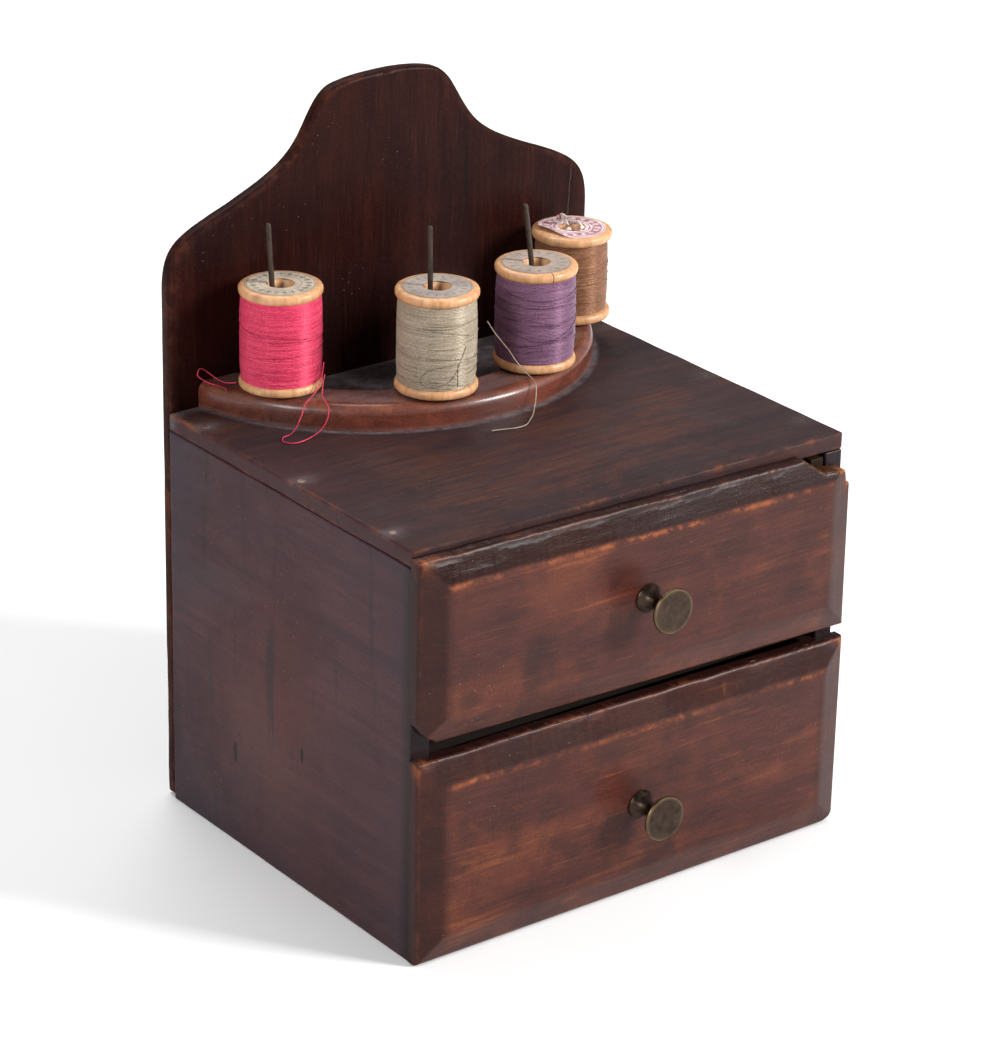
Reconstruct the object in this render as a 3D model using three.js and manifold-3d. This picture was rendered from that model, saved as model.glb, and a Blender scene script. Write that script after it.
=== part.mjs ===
// Bobbin box: a two-drawer sewing box with a shaped back board, and cotton reels on a curved rail.
// Millimetres, +Z up, front towards -Y. The origin is at the bottom centre of the whole box.
import * as THREE from 'three';
import { mergeVertices } from 'three/addons/utils/BufferGeometryUtils.js';
import Module from 'manifold-3d';

const wasm = await Module();
wasm.setup();

// Case
const CASE_WIDTH = 186;
const CASE_HEIGHT = 152;
const SIDE_DEPTH = 147;
const SIDE_THICKNESS = 8;
const TOP_THICKNESS = 6.3;
const BOTTOM_THICKNESS = 6;
const BACK_THICKNESS = 5.5;
const BACK_HALF_WIDTH = 92.5;
const BACK_HEIGHT = 262;
const DIVIDER_THICKNESS = 5;
const DIVIDER_TOP = 81;
const DIVIDER_SETBACK = 1;
const TOP_CORNER_RADIUS = 3;

// Drawers
const DRAWER_SIDE_THICKNESS = 6;
const DRAWER_SIDE_CLEARANCE = 0.7;
const DRAWER_DEPTH = 143;
const DRAWER_FLOOR_THICKNESS = 3.4;
const DRAWER_FLOOR_LIFT = 4;
const GROOVE_DEPTH = 2.5;
const RUN_CLEARANCE = 0.5;
const HEAD_CLEARANCE = 1.2;
const FRONT_THICKNESS = 8;
const FRONT_EDGE = 4.5;
const BEVEL_WIDTH = 10.5;

// Knobs, turned brass with a threaded tail and a nut inside the drawer
const KNOB_REACH = 22;
const KNOB_DISC_RADIUS = 8.3;
const KNOB_TAIL_RADIUS = 1.8;
const KNOB_TAIL_INSIDE = 4;
const KNOB_SEGMENTS = 24;
const NUT_RADIUS = 4;
const NUT_THICKNESS = 2.4;
const NUT_SIDES = 6;

// Reel rail, a bow that stands on the top board with both ends against the back board
const RAIL_CENTRE_X = 2.2;
const RAIL_CENTRE_Y = 163.4;
const RAIL_OUTER_RADIUS = 84.6;
const RAIL_INNER_RADIUS = 66.8;
const RAIL_HEIGHT = 9.4;
const RAIL_SEGMENTS = 72;
const RAIL_EDGE_STEPS = 4;
const RAIL_EDGE_RADIUS = 3.4;

// Reels and the iron pins that they stand on
const REEL_RADIUS = 14.9;
const REEL_FLANGE = 3.4;
const REEL_CORE_RADIUS = 7.5;
const REEL_HOLE_RADIUS = 4.7;
const REEL_SEGMENTS = 28;
const REEL_LIFT = 0.3;
const LABEL_THICKNESS = 0.25;
const LABEL_RADIUS = 12.6;
const PIN_RADIUS = 1.05;
const PIN_HEIGHT = 60;
const PIN_DEPTH = 6.5;
const PIN_SEGMENTS = 10;
const GAP = 0.3;

// Each reel: where it stands, its height, how full it is, and the lean of its pin,
// given as the pin's offset from the reel's axis at the rail and at the reel's top.
const REELS = [
  { x: -58.8, y: 127.2, height: 38, full: 14.7, foot: [-0.7, 0.5], head: [-2.4, 1.9], pin: PIN_HEIGHT, thread: 0xc83c5f },
  { x: -15.0, y: 94.7, height: 38, full: 14.3, foot: [-1.5, 1.1], head: [-2.0, 1.5], pin: PIN_HEIGHT, thread: 0x968c6e },
  { x: 29.2, y: 95.7, height: 38, full: 14.5, foot: [2.3, -1.8], head: [-1.4, 1.1], pin: PIN_HEIGHT, thread: 0x734b6e },
  { x: 70.6, y: 128.0, height: 34, full: 13.7, foot: [0.4, -0.3], head: [-0.5, 0.4], pin: 32, thread: 0x8c6446 },
];

// Nails and brads
const NAIL_HEAD_RADIUS = 1.5;
const NAIL_SHANK_RADIUS = 0.7;
const NAIL_LENGTH = 16;
const NAIL_HEAD_THICKNESS = 0.6;
const NAIL_SEGMENTS = 8;
const TOP_NAIL_Y = [17, 70, 129];
const BRAD_Z = [24, 84, 140];
const NAIL_INSET = 4;

// Loose ends of thread
const THREAD_RADIUS = 0.25;
const THREAD_SIDES = 8;
const THREAD_STEP = 1.7;

const HALF_WIDTH = CASE_WIDTH / 2;
const TOP_UNDERSIDE = CASE_HEIGHT - TOP_THICKNESS;
const DIVIDER_UNDERSIDE = DIVIDER_TOP - DIVIDER_THICKNESS;
const INNER_HALF = HALF_WIDTH - SIDE_THICKNESS;
const BACK_FACE = SIDE_DEPTH + BACK_THICKNESS;
const RAIL_TOP = CASE_HEIGHT + RAIL_HEIGHT;
// The whole box runs from the knobs to the back board, and the origin is half way.
const ORIGIN_Y = (BACK_FACE - KNOB_REACH) / 2;

const WOOD = { color: 0x4a2318, roughness: 0.45, metalness: 0 };
const FRONT_WOOD = { color: 0x5c2a1c, roughness: 0.4, metalness: 0 };
const DRAWER_WOOD = { color: 0x7a5a3c, roughness: 0.7, metalness: 0 };
const REEL_WOOD = { color: 0xd9a971, roughness: 0.55, metalness: 0 };
const BRASS = { color: 0x6e6048, roughness: 0.35, metalness: 1 };
const IRON = { color: 0x35302c, roughness: 0.6, metalness: 1 };
const PAPER = { color: 0x9a9488, roughness: 0.8, metalness: 0 };

const box = new THREE.Group();
box.position.set(0, -ORIGIN_Y, 0);

function addMesh(parent, name, geometry, look, x = 0, y = 0, z = 0) {
  const mesh = new THREE.Mesh(geometry, new THREE.MeshStandardMaterial(look));
  mesh.name = name;
  mesh.position.set(x, y, z);
  parent.add(mesh);
  return mesh;
}

function toSolid(geometry) {
  const bare = geometry.clone();
  bare.deleteAttribute('normal');
  bare.deleteAttribute('uv');
  const merged = mergeVertices(bare, 1e-4);
  return new wasm.Manifold(new wasm.Mesh({
    numProp: 3,
    vertProperties: new Float32Array(merged.attributes.position.array),
    triVerts: new Uint32Array(merged.index.array),
  }));
}

function toGeometry(solid) {
  const mesh = solid.getMesh();
  const geometry = new THREE.BufferGeometry();
  geometry.setAttribute('position', new THREE.BufferAttribute(mesh.vertProperties, 3));
  geometry.setIndex(new THREE.BufferAttribute(mesh.triVerts, 1));
  return geometry;
}

function block(x0, x1, y0, y1, z0, z1) {
  const geometry = new THREE.BoxGeometry(x1 - x0, y1 - y0, z1 - z0);
  geometry.translate((x0 + x1) / 2, (y0 + y1) / 2, (z0 + z1) / 2);
  return geometry;
}

// A shape drawn in X and Z, made into a board between two depths along Y.
function boardAcross(shape, y0, y1) {
  const geometry = new THREE.ExtrudeGeometry(shape, { depth: y1 - y0, bevelEnabled: false, curveSegments: 8 });
  geometry.rotateX(Math.PI / 2);
  geometry.translate(0, y1, 0);
  return geometry;
}

// A turned profile along +Z, moved to a place.
function turned(profile, segments) {
  const points = profile.map(([radius, z]) => new THREE.Vector2(radius, z));
  const geometry = new THREE.LatheGeometry(points, segments);
  geometry.rotateX(Math.PI / 2);
  return geometry;
}

function shapeOf(points) {
  return new THREE.Shape(points.map(([x, z]) => new THREE.Vector2(x, z)));
}

// A nail along +Z with its head's face at the origin.
function nailGeometry(allowance) {
  const head = NAIL_HEAD_RADIUS + allowance;
  const shank = NAIL_SHANK_RADIUS + allowance;
  const under = -NAIL_HEAD_THICKNESS - allowance;
  const above = allowance;
  const tip = -NAIL_LENGTH - allowance;
  return turned([[0, tip], [shank, tip + 1], [shank, under], [head, under], [head, above], [0, above]], NAIL_SEGMENTS);
}

function nailPlaces() {
  const places = [];
  for (const side of [-1, 1]) {
    const x = side * (HALF_WIDTH - NAIL_INSET);
    const hand = side < 0 ? 'left' : 'right';
    TOP_NAIL_Y.forEach((y, i) => places.push({ name: `top_nail_${hand}_${i + 1}`, at: [x, y, CASE_HEIGHT], turn: 0 }));
    BRAD_Z.forEach((z, i) => places.push({ name: `back_brad_${hand}_${i + 1}`, at: [x, BACK_FACE, z], turn: -Math.PI / 2 }));
  }
  return places;
}

const NAILS = nailPlaces();

function placedNail(place, allowance) {
  const geometry = nailGeometry(allowance);
  geometry.rotateX(place.turn);
  geometry.translate(...place.at);
  return geometry;
}

// Cuts the hole of every nail that passes through a board.
function withNailHoles(geometry, wanted) {
  let solid = toSolid(geometry);
  for (const place of NAILS.filter(wanted)) {
    solid = solid.subtract(toSolid(placedNail(place, GAP)));
  }
  return toGeometry(solid);
}

// Half of the back board's outline is drawn and mirrored: square shoulders, an ogee and a broad lobe.
function backOutline() {
  const shape = new THREE.Shape();
  shape.moveTo(BACK_HALF_WIDTH, 0);
  shape.lineTo(BACK_HALF_WIDTH, 196);
  shape.bezierCurveTo(BACK_HALF_WIDTH, 210, 88, 214, 76, 219);
  shape.bezierCurveTo(60, 226, 46, 230, 38, 240);
  shape.bezierCurveTo(31, 249, 29, 257, 22, 259.6);
  shape.bezierCurveTo(15, 261.6, 8, BACK_HEIGHT, 0, BACK_HEIGHT);
  shape.bezierCurveTo(-8, BACK_HEIGHT, -15, 261.6, -22, 259.6);
  shape.bezierCurveTo(-29, 257, -31, 249, -38, 240);
  shape.bezierCurveTo(-46, 230, -60, 226, -76, 219);
  shape.bezierCurveTo(-88, 214, -BACK_HALF_WIDTH, 210, -BACK_HALF_WIDTH, 196);
  shape.lineTo(-BACK_HALF_WIDTH, 0);
  shape.closePath();
  return shape;
}

function topOutline() {
  const shape = new THREE.Shape();
  shape.moveTo(-HALF_WIDTH, 0);
  shape.lineTo(HALF_WIDTH - TOP_CORNER_RADIUS, 0);
  shape.quadraticCurveTo(HALF_WIDTH, 0, HALF_WIDTH, TOP_CORNER_RADIUS);
  shape.lineTo(HALF_WIDTH, SIDE_DEPTH);
  shape.lineTo(-HALF_WIDTH, SIDE_DEPTH);
  shape.closePath();
  return shape;
}

function addCase() {
  const back = boardAcross(backOutline(), SIDE_DEPTH, BACK_FACE);
  addMesh(box, 'back_board', withNailHoles(back, (place) => place.turn !== 0), WOOD);
  for (const [name, side] of [['side_left', -1], ['side_right', 1]]) {
    const outer = side * HALF_WIDTH;
    const inner = side * INNER_HALF;
    const panel = block(Math.min(outer, inner), Math.max(outer, inner), 0, SIDE_DEPTH, 0, TOP_UNDERSIDE);
    addMesh(box, name, withNailHoles(panel, (place) => place.at[0] * side > 0), WOOD);
  }
  addMesh(box, 'bottom_board', block(-INNER_HALF, INNER_HALF, 0, SIDE_DEPTH, 0, BOTTOM_THICKNESS), WOOD);
  const divider = block(-INNER_HALF, INNER_HALF, DIVIDER_SETBACK, SIDE_DEPTH, DIVIDER_UNDERSIDE, DIVIDER_TOP);
  addMesh(box, 'drawer_divider', divider, WOOD);
  const top = new THREE.ExtrudeGeometry(topOutline(), { depth: TOP_THICKNESS, bevelEnabled: false, curveSegments: 4 });
  top.translate(0, 0, TOP_UNDERSIDE);
  addMesh(box, 'top_board', withNailHoles(top, (place) => place.turn === 0), WOOD);
  for (const place of NAILS) {
    addMesh(box, place.name, placedNail(place, 0), IRON);
  }
}

// A pin leans from its foot in the rail towards the side of the reel's hole.
function pinGeometry(reel, radius, below, above) {
  const lean = new THREE.Vector3(reel.head[0] - reel.foot[0], reel.head[1] - reel.foot[1], reel.height);
  lean.normalize();
  const geometry = new THREE.CylinderGeometry(radius, radius, below + above, PIN_SEGMENTS);
  geometry.translate(0, (above - below) / 2, 0);
  geometry.applyQuaternion(new THREE.Quaternion().setFromUnitVectors(new THREE.Vector3(0, 1, 0), lean));
  geometry.translate(reel.x + reel.foot[0], reel.y + reel.foot[1], RAIL_TOP);
  return geometry;
}

function railProfile() {
  const edge = RAIL_OUTER_RADIUS - RAIL_EDGE_RADIUS;
  const profile = [[RAIL_INNER_RADIUS, 0], [RAIL_OUTER_RADIUS, 0]];
  for (let i = 0; i <= RAIL_EDGE_STEPS; i += 1) {
    const angle = (i / RAIL_EDGE_STEPS) * (Math.PI / 2);
    profile.push([edge + RAIL_EDGE_RADIUS * Math.cos(angle), RAIL_HEIGHT - RAIL_EDGE_RADIUS * (1 - Math.sin(angle))]);
  }
  profile.push([RAIL_INNER_RADIUS + 0.8, RAIL_HEIGHT]);
  profile.push([RAIL_INNER_RADIUS, RAIL_HEIGHT - 0.8]);
  profile.push([RAIL_INNER_RADIUS, 0]);
  return profile;
}

function addRail() {
  const ring = turned(railProfile(), RAIL_SEGMENTS);
  ring.translate(RAIL_CENTRE_X, RAIL_CENTRE_Y, CASE_HEIGHT);
  const room = block(-HALF_WIDTH, HALF_WIDTH, 0, SIDE_DEPTH - GAP, CASE_HEIGHT - 1, RAIL_TOP + 1);
  let solid = toSolid(ring).intersect(toSolid(room));
  for (const reel of REELS) {
    solid = solid.subtract(toSolid(pinGeometry(reel, PIN_RADIUS + GAP, PIN_DEPTH + GAP, 3)));
  }
  addMesh(box, 'reel_rail', toGeometry(solid), WOOD);
  REELS.forEach((reel, i) => {
    addMesh(box, `reel_pin_${i + 1}`, pinGeometry(reel, PIN_RADIUS, PIN_DEPTH, reel.pin), IRON);
  });
}

function addReel(reel, number) {
  const group = new THREE.Group();
  group.position.set(reel.x, reel.y, RAIL_TOP + REEL_LIFT);
  const bottom = LABEL_THICKNESS;
  const top = reel.height - LABEL_THICKNESS;
  const wood = [
    [REEL_HOLE_RADIUS, bottom], [REEL_RADIUS - 0.6, bottom], [REEL_RADIUS, bottom + 0.8],
    [REEL_RADIUS, REEL_FLANGE - 0.7], [REEL_RADIUS - 0.5, REEL_FLANGE], [REEL_CORE_RADIUS, REEL_FLANGE],
    [REEL_CORE_RADIUS, reel.height - REEL_FLANGE], [REEL_RADIUS - 0.5, reel.height - REEL_FLANGE],
    [REEL_RADIUS, reel.height - REEL_FLANGE + 0.7], [REEL_RADIUS, top - 0.8],
    [REEL_RADIUS - 0.6, top], [REEL_HOLE_RADIUS, top], [REEL_HOLE_RADIUS, bottom],
  ];
  addMesh(group, `reel_${number}_wood`, turned(wood, REEL_SEGMENTS), REEL_WOOD);
  const low = REEL_FLANGE + GAP;
  const high = reel.height - REEL_FLANGE - GAP;
  const inner = REEL_CORE_RADIUS + GAP;
  const thread = [[inner, low], [reel.full, low], [reel.full, high], [inner, high], [inner, low]];
  addMesh(group, `reel_${number}_thread`, turned(thread, REEL_SEGMENTS), { color: reel.thread, roughness: 0.6 });
  for (const [name, z] of [['label_top', top], ['label_bottom', 0]]) {
    const rim = [
      [REEL_HOLE_RADIUS + 0.2, z], [LABEL_RADIUS, z], [LABEL_RADIUS, z + LABEL_THICKNESS],
      [REEL_HOLE_RADIUS + 0.2, z + LABEL_THICKNESS], [REEL_HOLE_RADIUS + 0.2, z],
    ];
    addMesh(group, `reel_${number}_${name}`, turned(rim, REEL_SEGMENTS), PAPER);
  }
  box.add(group);
}

// A fielded front: a raised flat with a bevel on all four sides, over a worn and uneven outline.
// Its broken pieces are cut away, and it has a hole for the tail of the knob.
function frontGeometry(outline, knobZ, breaks) {
  const geometry = new THREE.ExtrudeGeometry(shapeOf(outline), {
    depth: 2 * FRONT_EDGE,
    bevelEnabled: true,
    bevelThickness: FRONT_THICKNESS - FRONT_EDGE,
    bevelSize: BEVEL_WIDTH,
    bevelOffset: -BEVEL_WIDTH,
    bevelSegments: 1,
  });
  geometry.rotateX(Math.PI / 2);
  geometry.translate(0, FRONT_EDGE, 0);
  const reach = CASE_WIDTH;
  let solid = toSolid(geometry).intersect(toSolid(block(-reach, reach, -FRONT_THICKNESS - 1, 0, -1, CASE_HEIGHT)));
  for (const outlineOfBreak of breaks) {
    solid = solid.subtract(toSolid(boardAcross(shapeOf(outlineOfBreak), -FRONT_THICKNESS - 2, 2)));
  }
  const bore = new THREE.CylinderGeometry(KNOB_TAIL_RADIUS + GAP, KNOB_TAIL_RADIUS + GAP, 40, 16);
  bore.translate(0, 0, knobZ);
  return toGeometry(solid.subtract(toSolid(bore)));
}

// The knob's profile runs out along its own axis from the nut end of its tail to its disc.
function knobGeometry() {
  const face = FRONT_THICKNESS + GAP / 2;
  const profile = [
    [0, -KNOB_TAIL_INSIDE], [KNOB_TAIL_RADIUS, -KNOB_TAIL_INSIDE], [KNOB_TAIL_RADIUS, face],
    [5.2, face], [5.2, face + 0.8], [4, face + 1.8], [2.6, face + 4], [2.3, face + 6.5], [3, face + 9],
    [5, face + 11], [KNOB_DISC_RADIUS - 0.4, KNOB_REACH - 1.7], [KNOB_DISC_RADIUS, KNOB_REACH - 1.1],
    [KNOB_DISC_RADIUS - 0.3, KNOB_REACH - 0.4], [KNOB_DISC_RADIUS - 1.6, KNOB_REACH], [0, KNOB_REACH],
  ];
  const geometry = turned(profile, KNOB_SEGMENTS);
  geometry.rotateX(Math.PI / 2);
  return geometry;
}

// A six-sided nut whose hole clears the tail at the middle of each flat.
function nutGeometry() {
  const bore = (KNOB_TAIL_RADIUS + GAP / 2) / Math.cos(Math.PI / NUT_SIDES);
  const profile = [[bore, 0], [NUT_RADIUS, 0], [NUT_RADIUS, NUT_THICKNESS], [bore, NUT_THICKNESS], [bore, 0]];
  const geometry = turned(profile, NUT_SIDES);
  geometry.rotateX(-Math.PI / 2);
  geometry.translate(0, GAP, 0);
  return geometry;
}

// A drawer side is grooved along its inner face for the floor board.
function drawerSideOutline(side, low, high) {
  const outer = side * (INNER_HALF - DRAWER_SIDE_CLEARANCE);
  const inner = outer - side * DRAWER_SIDE_THICKNESS;
  const groove = inner + side * GROOVE_DEPTH;
  const grooveLow = low + DRAWER_FLOOR_LIFT;
  const grooveHigh = grooveLow + DRAWER_FLOOR_THICKNESS + 2 * GAP;
  const outline = [
    [outer, low], [inner, low], [inner, grooveLow], [groove, grooveLow],
    [groove, grooveHigh], [inner, grooveHigh], [inner, high], [outer, high],
  ];
  return side > 0 ? outline.reverse() : outline;
}

function addDrawer(name, low, high, outline, knobZ, breaks) {
  const outer = INNER_HALF - DRAWER_SIDE_CLEARANCE;
  const inner = outer - DRAWER_SIDE_THICKNESS;
  const floorHalf = inner + GROOVE_DEPTH - GAP;
  const floorLow = low + DRAWER_FLOOR_LIFT + GAP;
  const floorHigh = floorLow + DRAWER_FLOOR_THICKNESS;
  const tail = DRAWER_DEPTH - DRAWER_SIDE_THICKNESS;
  addMesh(box, `${name}_front`, frontGeometry(outline, knobZ, breaks), FRONT_WOOD);
  addMesh(box, `${name}_side_left`, boardAcross(shapeOf(drawerSideOutline(-1, low, high)), 0, DRAWER_DEPTH), DRAWER_WOOD);
  addMesh(box, `${name}_side_right`, boardAcross(shapeOf(drawerSideOutline(1, low, high)), 0, DRAWER_DEPTH), DRAWER_WOOD);
  addMesh(box, `${name}_back`, block(-inner, inner, tail, DRAWER_DEPTH, floorHigh + GAP, high - 3), DRAWER_WOOD);
  addMesh(box, `${name}_floor`, block(-floorHalf, floorHalf, GAP, DRAWER_DEPTH, floorLow, floorHigh), DRAWER_WOOD);
  addMesh(box, `${name}_knob`, knobGeometry(), BRASS, 0, 0, knobZ);
  addMesh(box, `${name}_knob_nut`, nutGeometry(), BRASS, 0, 0, knobZ);
}

function addDrawers() {
  const upperOutline = [[-94, 83], [94, 79.2], [93.4, 147.6], [-94, 150.2]];
  const upperBreaks = [
    [[70.5, 153], [72, 147], [80, 141.4], [90, 140.4], [90.9, 134.9], [97, 134.2], [97, 153]],
    [[-97, 92], [-93.4, 91], [-90.5, 86], [-86.4, 83.6], [-86, 80], [-97, 80]],
  ];
  const lowerOutline = [[-93.4, 0.6], [94.4, 0.6], [94.4, 74.8], [-94, 77.2]];
  const lowerBreaks = [[[97, -2], [97, 4], [94, 3.6], [91, 1.6], [89, -2]]];
  addDrawer('upper_drawer', DIVIDER_TOP + RUN_CLEARANCE, TOP_UNDERSIDE - HEAD_CLEARANCE, upperOutline, 115, upperBreaks);
  addDrawer('lower_drawer', BOTTOM_THICKNESS + RUN_CLEARANCE, DIVIDER_UNDERSIDE - HEAD_CLEARANCE, lowerOutline, 36.4, lowerBreaks);
}

// Loose ends of thread. Each runs from its reel through points chosen by hand.
const THREADS = {
  pink_thread_loop: [
    [-49.9, 113.6, 172.6], [-51.3, 112.5, 169], [-52.9, 111.6, 166], [-55.6, 110.6, 163.6], [-59, 109, 162.3],
    [-62.6, 106.6, 161.9], [-66, 103.8, 159.4], [-68.4, 103.6, 155.4], [-70.2, 104.6, 153], [-73, 104.8, 152.4],
    [-75, 101.6, 152.4], [-73.4, 98.6, 152.4], [-69.6, 98.2, 152.4], [-64.8, 99.4, 152.6], [-61, 99, 154.6],
    [-58.6, 98.6, 158.4], [-57.2, 100.2, 161.6], [-55.6, 104.6, 162.2], [-53.6, 109.2, 162.6], [-51.6, 111.6, 165.4],
    [-50.2, 112.6, 168.6],
  ],
  pink_thread_end: [
    [-72.8, 134.2, 163.4], [-73.6, 136.6, 162.6], [-74.4, 139.6, 162], [-75.2, 143, 162.4], [-76.6, 145.2, 163.8],
    [-78.4, 146, 165.4], [-80, 146, 166.4], [-81.2, 145.9, 165.8], [-81.7, 145.4, 164.2], [-80.6, 143.4, 162.9],
    [-79, 141, 162], [-77.6, 138.6, 161.8], [-77, 136, 161.8], [-77.4, 133.6, 161.8],
  ],
  olive_thread_end: [
    [-1.6, 83.2, 187.2], [2.8, 84.6, 181.6], [8.4, 87.4, 176], [12.6, 89, 171.6], [15, 88.2, 167.6],
    [16.8, 86, 164.6], [17.8, 83.6, 162.6], [17.6, 80.6, 161.8], [16.8, 78.2, 160.4], [15.8, 76.8, 157.6],
    [14.6, 75.8, 154.6], [12.2, 73.6, 152.5], [8.6, 70.4, 152.4], [4.4, 67.2, 152.4], [0, 66.6, 152.4],
    [-4.6, 68, 152.4], [-9.2, 69.4, 152.4],
  ],
};

function threadGeometry(points) {
  const curve = new THREE.CatmullRomCurve3(points.map((point) => new THREE.Vector3(...point)), false, 'centripetal');
  const section = new THREE.Shape();
  for (let i = 0; i < THREAD_SIDES; i += 1) {
    const angle = (i / THREAD_SIDES) * 2 * Math.PI;
    const x = THREAD_RADIUS * Math.cos(angle);
    const y = THREAD_RADIUS * Math.sin(angle);
    if (i === 0) section.moveTo(x, y);
    else section.lineTo(x, y);
  }
  section.closePath();
  const steps = Math.round(curve.getLength() / THREAD_STEP);
  return new THREE.ExtrudeGeometry(section, { steps, extrudePath: curve });
}

function addThreads() {
  addMesh(box, 'pink_thread_loop', threadGeometry(THREADS.pink_thread_loop), { color: REELS[0].thread });
  addMesh(box, 'pink_thread_end', threadGeometry(THREADS.pink_thread_end), { color: REELS[0].thread });
  addMesh(box, 'olive_thread_end', threadGeometry(THREADS.olive_thread_end), { color: REELS[1].thread });
}

addCase();
addRail();
REELS.forEach((reel, i) => addReel(reel, i + 1));
addDrawers();
addThreads();

export default box;
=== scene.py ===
import math
import random

import bmesh
import bpy
import numpy as np
from mathutils import Matrix, Vector, noise


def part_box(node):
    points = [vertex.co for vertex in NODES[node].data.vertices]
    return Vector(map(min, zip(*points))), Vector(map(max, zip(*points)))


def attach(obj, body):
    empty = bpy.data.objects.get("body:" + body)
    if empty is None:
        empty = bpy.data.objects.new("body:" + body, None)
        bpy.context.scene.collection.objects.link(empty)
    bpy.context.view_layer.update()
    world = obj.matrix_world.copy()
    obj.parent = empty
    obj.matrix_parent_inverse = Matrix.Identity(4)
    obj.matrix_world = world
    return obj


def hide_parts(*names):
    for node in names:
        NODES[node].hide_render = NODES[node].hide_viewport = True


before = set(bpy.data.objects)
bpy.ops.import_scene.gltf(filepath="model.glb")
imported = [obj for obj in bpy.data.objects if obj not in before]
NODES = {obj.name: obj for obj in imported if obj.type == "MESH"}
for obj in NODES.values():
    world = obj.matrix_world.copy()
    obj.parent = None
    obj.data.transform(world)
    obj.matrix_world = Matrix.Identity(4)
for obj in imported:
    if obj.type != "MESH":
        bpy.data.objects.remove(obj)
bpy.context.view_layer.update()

bl_info = {
    "name": "Bobbin Box",
    "version": (1, 0, 0),
    "blender": (4, 5, 0),
    "location": "View3D > Sidebar > Bobbin Box",
    "description": "An old two-drawer sewing box with cotton reels on a curved rail",
    "category": "Object",
}

MM = 0.001
REEL_COUNT = 4

TOP_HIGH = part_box("top_board")[1]
RAIL_LOW, RAIL_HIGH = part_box("reel_rail")
BACK_LOW, BACK_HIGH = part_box("back_board")
FRONT_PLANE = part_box("side_left")[0].y
BACK_PLANE = BACK_LOW.y
TOP_Z = TOP_HIGH.z

# The rail's plan is part of a circle whose centre is behind the back board.
RAIL_CENTRE = Vector((2.2 * MM, FRONT_PLANE + 163.4 * MM))
RAIL_OUTER = 84.6 * MM
RAIL_INNER = 66.8 * MM
RAIL_ROUND = 3.6 * MM

# The drawer fronts' thickness at the rim and in the middle.
FRONT_EDGE = 4.5 * MM
FRONT_THICK = 8.0 * MM

# The turned reels: the flanges' thickness, and the radii of the hole and of the core under the thread.
REEL_FLANGE = 3.4 * MM
REEL_HOLE = 4.7 * MM
REEL_CORE = 7.5 * MM
LABEL_HOLE = 5.0 * MM
THREAD_PITCH = 0.50 * MM


# ---------------------------------------------------------------- node trees

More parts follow.
